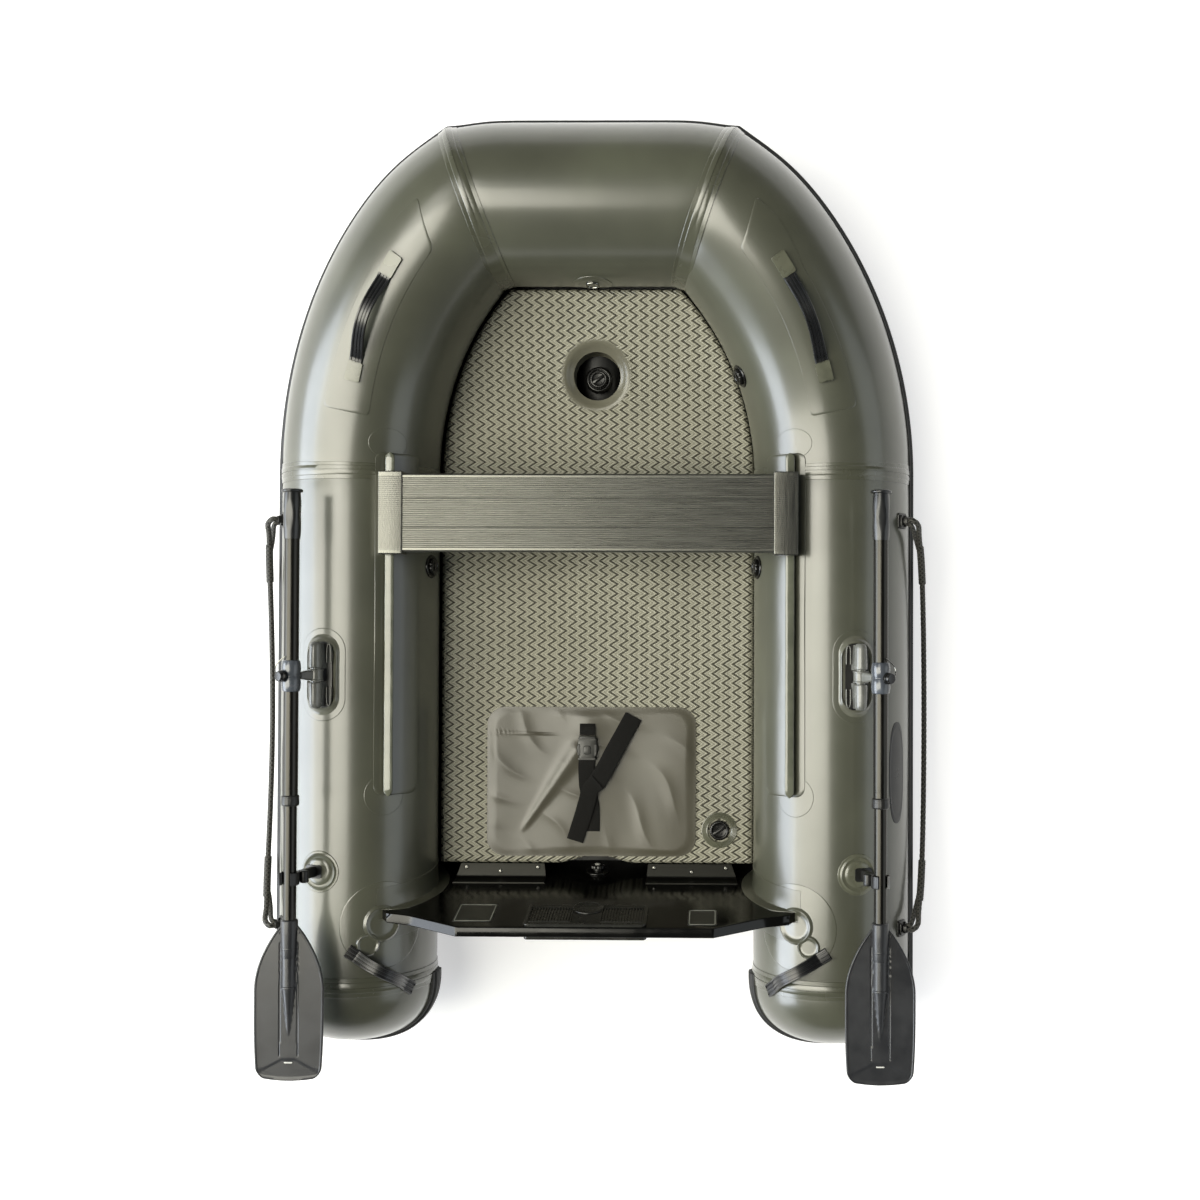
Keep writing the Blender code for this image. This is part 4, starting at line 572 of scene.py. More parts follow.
# Extruded and moulded rubber: dull or a little waxy, fine pores
STRAKE_RUBBER = moulded("extruded_black_rubber", "#1a1a1a", 0.55, 1.6, 0.15)
HANDLE_RUBBER = moulded("black_handle_rubber", "#18191b", 0.30, 1.8, 0.08, Coat_Weight=0.3,
                        Coat_Roughness=0.2)
PAD_RUBBER = moulded("moulded_pad_rubber", "#282825", 0.24, 1.6, 0.04)
# Injection moulded nylon, acetal and PVC: even colour, fine spark-eroded grain
VALVE_PLASTIC = moulded("glossy_black_nylon_valve", "#121211", 0.22, 2.0, 0.04)
OLIVE_MOULDING = moulded("olive_moulded_pvc", "#5a5b4d", 0.26, 2.0, 0.06, Coat_Weight=0.6,
                         Coat_Roughness=0.15)
RIM_MOULDING = moulded("polished_olive_pvc_rim", "#64655a", 0.16, 2.0, 0.03, Coat_Weight=0.5,
                       Coat_Roughness=0.1)
RAIL_PVC = moulded("extruded_olive_pvc_rail", "#5d5f52", 0.12, 6.0, 0.06, Coat_Weight=0.5,
                   Coat_Roughness=0.08)
BUCKLE_PLASTIC = moulded("dark_acetal_buckle", "#2c2c29", 0.36, 1.5, 0.08)
NYLON = moulded("black_glass_filled_nylon", "#191918", 0.36, 1.2, 0.10)
# The barrels' and axle's colour is the nylon's own dark grey, lightened by a painted highlight
OARLOCK_NYLON = moulded("grey_nylon_with_painted_highlight", "#6a6b67", 0.24, 1.2, 0.05, Coat_Weight=0.4,
                        Coat_Roughness=0.2)
BLADE_NYLON = moulded("dark_grey_oar_blade_nylon", "#2a2b2e", 0.34, 1.2, 0.10)
# The sleeve is dark glossy nylon: its light blue-grey colour is a painted reflection of bluish light
SLEEVE_NYLON = moulded("oar_sleeve_nylon_painted_blue_reflection", "#4a4f56", 0.22, 1.5, 0.05, Coat_Weight=0.5,
                       Coat_Roughness=0.1)
GREY_NYLON = moulded("grey_moulded_nylon", "#8b8b86", 0.40, 1.5, 0.08)
WHITE_MARK = moulded("white_moulded_nylon", "#d9d9d4", 0.40, 1.5, 0.04)
# Phenolic-faced marine plywood: a hard glossy film, a little wavy
BOARD_FILM = moulded("phenolic_faced_marine_plywood", "#0a0a09", 0.14, 14.0, 0.03, Specular_IOR_Level=0.3)
# Aluminium: anodised extrusions with die lines along them; the steel is drawn wire, even all round
BRACKET_ALUMINIUM = drawn_metal("grey_anodised_bracket", "#232320", 0.38, (8.0, 900.0, 900.0), 0.12, 0.8)
PLANK_ALUMINIUM = drawn_metal("black_anodised_seat_plank", "#6d6d67", 0.27, (8.0, 900.0, 900.0), 0.10, 0.85)
SLIDER_CAP = drawn_metal("black_anodised_slider_cap", "#666661", 0.27, (900.0, 8.0, 900.0), 0.06, 0.85)
SHAFT_ALUMINIUM = drawn_metal("dark_anodised_oar_tube", "#3a3936", 0.28, (900.0, 8.0, 900.0))
STEEL = drawn_metal("stainless_steel_wire", "#8d8d88", 0.22, (400.0, 400.0, 400.0))
# Printed and plain films of vinyl, left bare because lettering is left off
BADGE_FILM = moulded("plain_black_vinyl_badge", "#141416", 0.30, 3.0, 0.04)
PLATE_FILM = moulded("plain_label_plate", "#20211e", 0.34, 3.0, 0.05)
PLATE_FRAME = moulded("printed_plate_frame_ink", "#a9aaa0", 0.45, 3.0, 0.04)


# The hull

# How deep the fabric is drawn in beside a seam, and how far that reaches along the tube
PINCH, PINCH_REACH = 0.0012, 0.03
RING = full_turn(160)[None, :]
# Half the bow tube's length, which differs round it, because its ends lie in the mitres
BOW_REACH = BOW_HALF + TUBE_R * np.cos(RING) * math.tan(MITRE)


def corner_relief(from_mitre, angle):
    """Fabric pulled tight over the bow's outer corners: a bell along the tube times the outboard share."""
    return -0.012 * bell(from_mitre, 0.07) * np.clip(np.cos(angle), 0.0, 1.0) ** 1.5


def bow_skin(x, angle, lift=0.0):
    """Points on the bow tube: its straight middle line, with the corners' relief; x runs across."""
    centre = tube_frame(BOW_ALONG)[0]
    mitre_x = BOW_HALF + TUBE_R * np.cos(angle) * math.tan(MITRE)
    radius = TUBE_R + lift + corner_relief(mitre_x - np.abs(x), angle)
    return together(x, centre[1] + radius * np.cos(angle), centre[2] + radius * np.sin(angle))


def quarter_skin(along, angle, lift=0.0):
    """Points on the quarter tube, whose last rings slide along the tube until they lie in the mitre."""
    along, angle, lift = np.broadcast_arrays(np.asarray(along, float), angle, lift)
    lift = lift + corner_relief(QUARTER_LENGTH - along, angle)
    direction = tube_frame(along)[1]
    share = along / QUARTER_LENGTH
    grow = 0.5 * ease((share - 0.62) / 0.38) + 0.5 * np.clip((share - 0.8) / 0.2, 0.0, 1.0) ** 2
    reach = TUBE_R * np.cos(angle) * math.tan(MITRE)
    return on_tube(along, angle, lift) + direction * (reach * grow)[..., None]


def cone_skin(aft, angle, lift=0.0):
    """Points on the stern cone: the radius falls as a power of the cosine where aft grows as the sine."""
    sine = np.clip(aft / CONE_LENGTH, 0.0, 1.0) ** (CONE_BLUNTNESS / 2)
    radius = TUBE_R * np.sqrt(np.clip(1.0 - sine ** 2, 0.0, 1.0)) ** (2 / CONE_BLUNTNESS) + lift
    return together(HALF_SPACING + radius * np.cos(angle), CONE_SEAM_Y - aft, TUBE_R + radius * np.sin(angle))


def cone_place(along, angle, lift):
    """Points on the side tube or, past its seam, on the stern cone, at lengths and angles."""
    aft = np.maximum(-SIDE_LENGTH - along, 0.0)
    return np.where((aft > 0.0)[..., None], cone_skin(aft, angle, lift), on_tube(along, angle, lift))


def make_hull():
    """The tubes' fabric: rings of points round a middle line, drawn in by a bell beside each seam."""
    side_along = np.linspace(-SIDE_LENGTH, 0.0, 110)[:, None]
    quarter_along = QUARTER_LENGTH * np.linspace(0.0, 1.0, 120)[:, None]
    aft = CONE_LENGTH * np.sin(quarter(48))[:, None] ** (2 / CONE_BLUNTNESS)
    tubes = (("side_tube", on_tube, side_along, side_along,
              bell(side_along + SIDE_LENGTH, PINCH_REACH) + bell(side_along, PINCH_REACH)),
             ("quarter_tube", quarter_skin, quarter_along, quarter_along,
              bell(quarter_along, PINCH_REACH) + bell(quarter_along - QUARTER_LENGTH, PINCH_REACH)),
             ("stern_cone", cone_skin, aft, -aft, bell(aft, PINCH_REACH) * (aft < CONE_LENGTH * 0.9)))
    for name, side in SIDES.items():
        for tube, skin, along, run, pinch in tubes:
            piece(f"{tube}_fabric_{name}", [(skin(along, RING, -PINCH * pinch), False, True)], HULL_FABRIC,
                  side=side, uv=[together(run, RING * TUBE_R)], replaces=f"{name}_{tube}",
                  slot="hull_fabric")
    share = np.linspace(-1.0, 1.0, 90)[:, None]
    x = BOW_REACH * share
    piece("bow_tube_fabric", [(bow_skin(x, RING, -PINCH * bell(1.0 - np.abs(share), 0.10)), False, True)],
          HULL_FABRIC, uv=[together(x, RING * TUBE_R)], replaces="bow_tube", slot="hull_fabric")


# Across a seam tape: how far from its middle as a share of its half width, and how high it stands
TAPE_SECTION = np.array([(-1.0, -0.0012), (-1.0, 0.0004), (-0.97, 0.0008), (-0.56, 0.0009), (-0.53, 0.0015),
                         (-0.50, 0.0018), (-0.06, 0.0018), (-0.04, 0.0004), (0.04, 0.0004), (0.06, 0.0018),
                         (0.50, 0.0018), (0.53, 0.0015), (0.56, 0.0009), (0.97, 0.0008), (1.0, 0.0004),
                         (1.0, -0.0012)])


def make_seam_tapes():
    """Two layers of tape over each seam: a narrow one on a wide one, with a groove down the middle."""
    # The tapes are pressed thin where the tubes stand on the floor
    pressed = 0.95 * np.clip(-np.sin(RING) * 8 - 7, 0, 1)
    share, lift = TAPE_SECTION[:, :1], TAPE_SECTION[:, 1:] * (1.0 - pressed)
    width, wide = share * 0.020, share * 0.022
    cone = np.where(width[..., None] < 0, cone_skin(np.maximum(-width, 0.0), RING, lift),
                    on_tube(width - SIDE_LENGTH, RING, lift))
    tight = lift + corner_relief(wide, RING)
    mitre = np.where(wide[..., None] < 0, at_mitre(QUARTER_LENGTH, RING, tight, np.abs(wide)),
                     at_mitre(BOW_ALONG, RING, tight, -np.abs(wide)))
    for name, side in SIDES.items():
        for seam, grid, run in (("cross", on_tube(width, RING, lift), width), ("cone", cone, width),
                                ("mitre", mitre, wide)):
            piece(f"{seam}_seam_tape_{name}", [(grid, True, True)], SEAM_TAPE, side=side,
                  uv=[together(run, RING * TUBE_R)], slot="hull_fabric")


# Out from the hull and up, as shares of the strake's thickness and half height: three ribs on a band.
# The upper half is listed, and the lower half is its mirror image.
STRAKE_UPPER = [(-0.35, 1.0), (0.18, 1.0), (0.30, 0.97), (0.34, 0.80), (0.42, 0.72), (0.80, 0.66),
                (0.95, 0.58), (0.95, 0.46), (0.80, 0.38), (0.62, 0.33), (0.66, 0.27), (0.92, 0.20),
                (1.0, 0.10)]
STRAKE_SECTION = np.array(STRAKE_UPPER + [(out, -up) for out, up in STRAKE_UPPER[::-1]] + [(-0.2, 0.0)])
STRAKE_HALF, STRAKE_THICKNESS = 0.0325, 0.010


def strake_path():
    """The hull's outline at mid height from the middle of the stern's inner side round to the bow."""
    turn = np.linspace(np.pi, 0.0, 60)
    power = 2.0 / CONE_BLUNTNESS
    across = np.sign(np.cos(turn)) * np.abs(np.cos(turn)) ** power * TUBE_R
    cone = together(HALF_SPACING + across, CONE_SEAM_Y - CONE_LENGTH * np.sin(turn) ** power, TUBE_R)
    side = on_tube(np.linspace(-SIDE_LENGTH + 0.01, -0.01, 60), 0.0)
    curve = quarter_skin(np.linspace(0.0, QUARTER_LENGTH - 0.004, 70), 0.0)
    bow = bow_skin(np.linspace(BOW_HALF + TUBE_R * math.tan(MITRE) - 0.004, 0.0, 40), 0.0)
    half = np.concatenate([cone, side, curve, bow])
    return np.concatenate([half, mirrored(half[::-1][1:], -1.0)])


def make_strake():
    """The rubber strake: its section carried round the hull, leaning back where it follows the tube."""
    path = strake_path()
    direction = np.gradient(path, axis=0)
    for _ in range(3):
        direction[1:-1] = (direction[:-2] + 2 * direction[1:-1] + direction[2:]) / 4
    outward = unit(np.cross(direction, Z_AXIS))
    on_cone = np.clip((CONE_SEAM_Y + 0.01 - path[:, 1]) / 0.03, 0.0, 1.0)[:, None]
    out, high = (STRAKE_SECTION * [STRAKE_THICKNESS, STRAKE_HALF]).T
    drop = TUBE_R - np.sqrt(TUBE_R ** 2 - high ** 2)
    section = together(out - drop + on_cone * drop * 0.6, high)
    piece("rub_strake_ribbed", [swept(path, outward, Z_AXIS, section)], STRAKE_RUBBER,
          uv=[repeated_ends(together(run_along(path)[:, None], high))], replaces="rub_strake",
          slot="black_rubber")


# How far inboard of the tube's middle the bottom is glued to it
SKIN_INSET = -TUBE_R * math.cos(SKIN_EDGE_ANGLE)


def turn_beside(y, most=math.sin(QUARTER_TURN)):
    """How far the quarter has turned where the edge of the bottom lies at a place along the boat."""
    return np.arcsin(np.clip((np.asarray(y) - CROSS_SEAM_Y) / (QUARTER_R - SKIN_INSET), 0.0, most))


def floor_rise(y):
    """How far the bow lifts the deck at a place along the boat: the rise of the quarter beside it."""
    return bow_rise(turn_beside(y))


def make_bottom():
    """The bottom: a black sheet from tube to tube, lowest in the middle, and the keel that lifts it."""
    thickness = 0.0012
    front = float(on_tube(BOW_ALONG, SKIN_EDGE_ANGLE, 0.0017)[1])
    y = np.linspace(-0.630, front, 150)
    edge = on_tube(QUARTER_R * turn_beside(y), SKIN_EDGE_ANGLE, thickness)
    width = np.interp(y, edge[:, 1], edge[:, 0])
    at_bow = BOW_HALF - (BOW_Y - y) * math.tan(MITRE)
    width = np.where(y > 0.735, np.minimum(width, at_bow), width)[:, None]
    height = np.interp(y, np.maximum.accumulate(edge[:, 1]), edge[:, 2])[:, None]
    share = np.linspace(-1.0, 1.0, 80)
    top = together(width * share, y[:, None], height - SKIN_DIP * (1.0 - np.abs(share)))
    grid = np.concatenate([top, top[:, ::-1] - thickness * Z_AXIS], axis=1)
    piece("bottom_fabric", [(capped(grid, folded=True), False, True)], BOTTOM_FABRIC,
          uv=[repeated_ends(grid[..., :2])], replaces="bottom_skin", slot="black_rubber")
    # The keel tube is an ellipse whose ends draw in over their last 60 mm
    y = np.linspace(-0.560, 0.600, 110)
    shrink = np.sqrt(1.0 - 0.51 * np.clip((y - 0.540) / 0.060, 0.0, 1.0) ** 2)
    path = together(0.0, y, 0.0335 + bow_rise(turn_beside(y, 1.0)))
    section = scaled(circle(1.0, 48), 0.0498 * shrink, 0.0253 * shrink)
    piece("keel_tube_fabric", [swept(path, X_AXIS, Z_AXIS, section)], BOTTOM_FABRIC, replaces="keel_tube",
          slot="black_rubber", sharp=50.0)


make_hull()
make_seam_tapes()
make_strake()
make_bottom()


# The deck and its fittings


def deck_edge():
    """The deck's edge to starboard, as width and place: where its top meets the tube, less 4 mm."""
    gap = 0.004
    along = np.concatenate([[-SIDE_LENGTH], np.linspace(0.0, QUARTER_LENGTH, 60)])
    centre, _, outboard, _ = tube_frame(along)
    inset = np.full(len(along), TUBE_R)
    for _ in range(8):
        y = centre[:, 1] - outboard[:, 1] * inset
        below = centre[:, 2] - DECK_TOP_Z - floor_rise(y)
        inset = np.sqrt(TUBE_R ** 2 - below ** 2) + gap
    x, y = centre[:, 0] - outboard[:, 0] * inset, centre[:, 1] - outboard[:, 1] * inset
    front = tube_frame(BOW_ALONG)[0]
    rise = front[2] - DECK_TOP_Z - float(floor_rise(front[1] - TUBE_R))
    front_y = front[1] - math.sqrt(TUBE_R ** 2 - rise ** 2) - gap
    keep = y < front_y
    last = BOW_HALF - (BOW_Y - front_y) * math.tan(MITRE)
    return np.append(x[keep], last), np.append(y[keep], front_y)


def make_deck():
    """The drop-stitch deck: rows from stern to bow, each a closed loop over the top, both edges and back.

    Near the hole the rows and columns are a tenth of its radius apart, and squares about its middle are
    drawn into circles: a point at a distance m, the larger of x and y, moves to radius m.
    """
    step, edge_r = DECK_HOLE_R / 10, 0.014
    near = 18
    width_at, place_at = deck_edge()
    front = place_at[-1]
    roll_rows = edge_r * (1.0 - np.cos(quarter(6)))[:-1]
    aft_rows = np.concatenate([DECK_AFT_Y + roll_rows,
                               np.linspace(DECK_AFT_Y + edge_r, DECK_HOLE_Y - near * step, 150)])
    near_rows = DECK_HOLE_Y + step * np.arange(1 - near, near)
    fore_rows = np.concatenate([np.linspace(DECK_HOLE_Y + near * step, front - edge_r, 14),
                                front - roll_rows[::-1]])
    rows = np.concatenate([aft_rows, near_rows, fore_rows])
    width = np.interp(rows, place_at, width_at)[:, None]
    fixed, outer = step * np.arange(near), np.linspace(0.0, 1.0, 45)[1:]
    columns = np.concatenate([np.broadcast_to(fixed, (len(rows), near)),
                              fixed[-1] + (width - edge_r - fixed[-1]) * outer], axis=1)
    roll = quarter(6)[1:]
    side_x = edge_r * np.sin(np.concatenate([roll, roll[::-1]]))
    side_z = np.concatenate([edge_r * np.cos(roll) - edge_r,
                             edge_r - edge_r * np.cos(roll[::-1]) - DECK_THICKNESS])
    top_x = np.concatenate([-columns[:, :0:-1], columns], axis=1)
    right = width - edge_r + side_x
    x = np.concatenate([top_x, right, top_x[:, ::-1], -right[:, ::-1]], axis=1)
    flat = top_x.shape[1]
    z = np.concatenate([np.zeros(flat), side_z, np.full(flat, -DECK_THICKNESS), side_z[::-1]])
    # The notch over the drain is a squared cosine; it fades out over the first rows
    notch = 0.018 * np.cos(np.clip(x / 0.090, -1, 1) * np.pi / 2) ** 2
    y = rows[:, None] + notch * np.clip(1.0 - (rows[:, None] - DECK_AFT_Y) / 0.15, 0.0, 1.0)
    dx, dy = x, y - DECK_HOLE_Y
    larger = np.maximum(np.abs(dx), np.abs(dy))
    pull = ease((fixed[-1] - larger) / (7 * step))
    factor = 1.0 + (larger / np.maximum(np.hypot(dx, dy), 1e-9) - 1.0) * pull
    x, y = dx * factor, DECK_HOLE_Y + dy * factor
    # Its ends roll over like its sides; round the hole is a smooth rim with a dished lip inside it
    end = np.clip(np.minimum(rows - DECK_AFT_Y, front - rows), 0.0, edge_r)
    shrink = edge_r - np.sqrt(edge_r ** 2 - (edge_r - end) ** 2)
    middle = -DECK_THICKNESS / 2
    z = middle + (z - middle) * (1.0 + shrink[:, None] / middle)
    radius = np.hypot(x, y - DECK_HOLE_Y)
    lip = 0.009 * bell(radius - DECK_HOLE_R, 0.010) - 0.0035 * bell(radius - 0.073, 0.008)
    z = np.where(z > middle, z - lip, z + lip)
    grid = together(x, y, z + DECK_TOP_Z + floor_rise(y))
    closing = grid[[0, -1]].copy()
    closing[..., 2] = DECK_TOP_Z + middle + floor_rise(closing[..., 1])
    grid = np.concatenate([closing[:1], grid, closing[1:]])
    corners = grid.reshape(-1, 3)[grid_faces(*grid.shape[:2], False, True)]
    inside = np.hypot(corners[..., 0], corners[..., 1] - DECK_HOLE_Y) < DECK_HOLE_R * 1.001
    # The hole's wall joins the square of points that were drawn into its rim, above and below
    run, edge = np.arange(-10, 10), np.full(20, 10)
    ring_rows = len(aft_rows) + near + np.concatenate([-edge, run, edge, -run])
    ring_columns = flat // 2 + np.concatenate([run, edge, -run, -edge])
    upper = grid[ring_rows, ring_columns]
    lower = grid[ring_rows, flat + len(side_z) + flat - 1 - ring_columns]
    down = np.array([0.0, 0.04, 0.12, 0.3, 0.5, 0.7, 0.88, 0.96, 1.0])[:, None, None]
    hole = np.array([0.0, DECK_HOLE_Y, 0.0])
    wall = upper + (lower - upper) * down
    wall = hole + (wall - hole) * (1.0 + 0.10 * np.sin(np.pi * down) * [1.0, 1.0, 0.0])
    piece("air_deck_embossed", [(grid, False, True, ~inside.all(axis=1)), (wall, False, True)], DECK_FABRIC,
          replaces="air_deck", slot="deck_fabric", sharp=50.0)
    hole[2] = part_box("keel_valve")[1][2]
    seat = rounded([(0.0, -0.020), (0.030, -0.020), (0.030, -0.004), (0.026, 0.0), (0.023, 0.0),
                    (0.023, -0.004), (0.0, -0.004)], 0.002)
    piece("keel_valve_seat", [turned(seat, hole, Z_AXIS)], VALVE_PLASTIC, replaces="keel_valve",
          slot="black_plastic")
    make_valve_cap("keel_valve_cap", hole, 0.0205, "keel_cap", 0.6)


def make_valve_cap(node, origin, radius, body, turn):
    """A valve's cap: a fluted lathe disc with a dished top, and a finger bar across it."""
    profile = rounded([(0.0, -0.0030), (radius * 0.96, -0.0030), (radius, -0.0015), (radius, 0.0060),
                       (radius * 0.90, 0.0080), (radius * 0.72, 0.0080), (radius * 0.64, 0.0052),
                       (0.0, 0.0052)], 0.0012)
    place = axes(origin, Z_AXIS, (math.cos(turn), math.sin(turn), 0.0))
    bar = slab(oblong(radius * 0.74, 0.0032, 0.0026), 0.0040, 0.0100, 0.0012, place, 0.0012)
    dots = [slab(circle(0.0022, 8) + [0.0, y], 0.0040, 0.0062, 0.0006, place)
            for y in (radius * 0.42, -radius * 0.42)]
    piece(f"{node}_moulded", [turned(profile, origin, Z_AXIS, 96, (24, 0.0009)), bar, *dots], VALVE_PLASTIC,
          body, replaces=node, slot="black_plastic")


def make_valves():
    """The deck's valve in its stepped olive flange, and the small caps of the three chambers."""
    origin = np.array([0.275, -0.528, DECK_TOP_Z])
    steps = [(0.0, -0.0080), (0.0400, -0.0080), (0.0400, -0.0040), (0.0402, -0.0015), (0.0398, 0.0010)]
    for radius, height in ((0.0385, 0.0018), (0.0360, 0.0030), (0.0335, 0.0040), (0.0310, 0.0050)):
        steps += [(radius, height - 0.0004), (radius - 0.0006, height + 0.0006), (radius - 0.0018, height)]
    steps += [(0.0275, 0.0058), (0.0262, 0.0050), (0.0255, 0.0000), (0.0255, -0.0040), (0.0255, -0.0060),
              (0.0, -0.0060)]
    piece("deck_valve_flange", [turned(steps, origin, Z_AXIS, 64)], OLIVE_MOULDING, replaces="deck_valve",
          slot="hull_fabric")
    make_valve_cap("deck_valve_cap", origin - 0.0010 * Z_AXIS, 0.0225, "deck_cap", 0.55)
    angle = math.radians(165.0)
    rim = rounded([(0.0, -0.003), (0.0255, -0.003), (0.0262, 0.0), (0.0245, 0.0024), (0.0205, 0.0030),
                   (0.0195, 0.0012), (0.0, 0.0012)], 0.0012)
    cap = rounded([(0.0, 0.0), (0.0180, 0.0), (0.0182, 0.0070), (0.0165, 0.0096), (0.0110, 0.0096),
                   (0.0095, 0.0078), (0.0, 0.0078)], 0.0012)
    for name, node, along, side in (("side_valve_starboard", "starboard_chamber_valve", -0.200, 1.0),
                                    ("side_valve_port", "port_chamber_valve", -0.200, -1.0),
                                    ("bow_valve", "bow_chamber_valve", 0.288, 1.0)):
        _, direction, outboard, up = tube_frame(along)
        axis = outboard * math.cos(angle) + up * math.sin(angle)
        origin = on_tube(along, angle)
        bar = slab(oblong(0.0120, 0.0022, 0.002), 0.006, 0.0098, 0.0008, axes(origin, axis, direction))
        piece(name, [turned(rim, origin, axis), turned(cap, origin, axis, 80, (20, 0.0008)), bar],
              VALVE_PLASTIC, side=side, replaces=node, slot="black_plastic")


def cloth_height(x, y):
    """How the tank patch lies: a ridge that fades along a crease, shallow folds, and soft dimples.

    The crease runs from the buckle to the aft port corner; x and y are metres on the deck.
    """
    start, end = np.array([-0.040, -0.345]), np.array([-0.170, -0.535])
    run = end - start
    length = np.linalg.norm(run)
    along = ((x - start[0]) * run[0] + (y - start[1]) * run[1]) / length
    across = ((x - start[0]) * run[1] - (y - start[1]) * run[0]) / length
    share = np.clip(along / length, 0.0, 1.0)
    crease = 0.0065 * bell(across, 0.0045 + 0.016 * (1 - share)) * (1.0 - share) ** 0.5
    crease *= ease((along + 0.02) / 0.03) * ease((length * 1.05 - along) / 0.04)
    fold = 0.0016 * bell(y + 0.318 + 0.03 * x, 0.0022) * ease((-0.075 - x) / 0.05)
    swell = 0.0020 * (1.0 + np.sin(21.0 * x + 9.0 * y + 0.6) * np.sin(13.0 * y - 7.0 * x + 1.1))
    bent = 26.0 * x + 30.0 * y + 1.2 * np.sin(17.0 * y - 9.0 * x)
    ripple = 0.0008 * (1.0 - np.abs(np.sin(bent))) ** 2 * (1.0 + np.sin(33.0 * x - 21.0 * y))
    pinch = 0.0035 * bell(x + 0.020, 0.035) * bell(y + 0.300, 0.030)
    return crease + fold + swell + ripple + pinch


def make_tank_patch():
    """The tank's patch: rows inset from its rounded outline to its middle, lifted by the way it lies."""
    centre = np.array([(0.222 - 0.245) / 2, (-0.587 - 0.254) / 2])
    outline = even_oblong(0.2335, 0.1665, 0.040, 9, 280)
    share = np.concatenate([[1.0, 0.996], np.linspace(0.985, 0.0, 90)])[:, None]
    spread = centre + outline * share[..., None]
    x, y = spread[..., 0], spread[..., 1]
    # Its edge is glued down over 24 mm
    held = ease((1.0 - share) * np.linalg.norm(outline, axis=1) / 0.024)
    top = together(x, y, DECK_TOP_Z + 0.0018 + cloth_height(x, y) * held)
    low = top[::-1] - 0.0011 * Z_AXIS
    low[-1, :, 2] = DECK_TOP_Z + 0.0003
    cloth = piece("tank_patch_cloth", [(np.concatenate([top, low]), True, True)], PATCH_CLOTH,
                  uv=[np.concatenate([spread, spread[::-1]])], replaces="tank_patch", slot="hull_fabric")


def band(path, width, thickness):
    """A flat strap along a path: an oblong section, thin and round-edged, and its UV in metres."""
    section = scaled(oblong(0.5, 0.5, 0.25, 3), np.full(len(path), width), thickness)
    uv = together(run_along(path)[:, None], section[..., 0])
    return swept(path, *along_path(path, Z_AXIS), section), repeated_ends(uv)


# The strap's lengths: its width, and x, y and the height over the patch of points along it
STRAP_LENGTHS = (
    (0.034, ((-0.020, -0.291, 0.001), (-0.020, -0.300, 0.004), (-0.020, -0.316, 0.006))),
    (0.036, ((-0.020, -0.360, 0.006), (-0.022, -0.390, 0.005), (-0.020, -0.430, 0.003),
             (-0.012, -0.470, 0.002), (-0.010, -0.500, 0.001), (-0.010, -0.531, 0.001))),
    (0.040, ((0.083, -0.274, 0.003), (0.062, -0.312, 0.009), (0.040, -0.352, 0.012),
             (0.016, -0.398, 0.011), (0.000, -0.424, 0.009))),
    (0.038, ((0.004, -0.420, 0.0125), (-0.012, -0.436, 0.010), (-0.022, -0.470, 0.0065),
             (-0.034, -0.510, 0.004), (-0.047, -0.552, 0.003))))


def above_patch(x, y, lift):
    """A point at a height over the tank patch."""
    return np.array([x, y, DECK_TOP_Z + 0.0018 + cloth_height(x, y) + lift])


def make_strap():
    """The tank's strap: webbing through a side-release buckle, its tail folded over to both sides."""
    for number, (width, points) in enumerate(STRAP_LENGTHS):
        part, uv = band(smooth_path([above_patch(*point) for point in points], 40), width, 0.0020)
        piece(f"tank_strap_webbing_{number + 1}", [part], WEBBING, uv=[uv], slot="webbing",
              replaces="tank_strap" if number == 0 else (), sharp=50.0)
    # The buckle: a body with a waisted outline, a release tongue in its window, ribs and two side arms
    place = axes(above_patch(-0.020, -0.345, 0.003), Z_AXIS, X_AXIS)
    y = np.linspace(-0.0275, 0.0275, 24)
    half = 0.0205 + 0.0030 * np.cos(y / 0.0275 * np.pi) + 0.0022 * bell(y - 0.020, 0.005)
    outline = np.concatenate([together(half, y), together(-half, y)[::-1]])
    parts = [slab(outline, 0.0, 0.0085, 0.0022, place, 0.0022),
             slab(oblong(0.0085, 0.0100, 0.006) + [0.0, -0.0040], 0.006, 0.0118, 0.0016, place, 0.001),
             slab(oblong(0.0205, 0.0022, 0.002) + [0.0, 0.0195], 0.006, 0.0118, 0.0012, place),
             slab(oblong(0.0205, 0.0020, 0.0018) + [0.0, -0.0235], 0.006, 0.0115, 0.0012, place)]
    parts += [slab(oblong(0.0024, 0.0130, 0.002) + [x, -0.004], 0.004, 0.0110, 0.0012, place)
              for x in (-0.0185, 0.0185)]
    piece("strap_buckle", parts, BUCKLE_PLASTIC, slot="black_plastic", sharp=40.0)


make_deck()
make_valves()
make_tank_patch()
make_strap()


# The transom and what is fixed to it

RAKE = math.radians(10.0)
BOARD_THICKNESS = 0.020
BOARD_TOP = np.array([0.0, -0.687, 0.410])
BOARD_NORMAL = np.array([0.0, math.cos(RAKE), math.sin(RAKE)])
# Where the ears are widest, just over the tubes
EAR_Z, EAR_X = 0.3177, 0.4347
DRAIN_Z = 0.085
# Local x is across, y is down the board from its crest, and z stands out of its front face
on_board = axes(BOARD_TOP, BOARD_NORMAL, X_AXIS)


def board_face(z):
    """Where the raked board's front face is at a height."""
    return BOARD_TOP[1] + (BOARD_TOP[2] - z) * math.tan(RAKE)


def board_half_width(z):
    """Half the board's width: the hollow that fits the tube up to 120 degrees, then the ear and the crest."""
    hollow = HALF_SPACING - np.sqrt(np.clip((TUBE_R + 0.0005) ** 2 - (z - TUBE_R) ** 2, 0.0, None))
    ear = np.interp(z, [EAR_Z, 0.338, 0.352, BOARD_TOP[2]], [EAR_X, 0.421, 0.371, 0.262])
    return np.where(z < EAR_Z, np.minimum(hollow, EAR_X), ear)


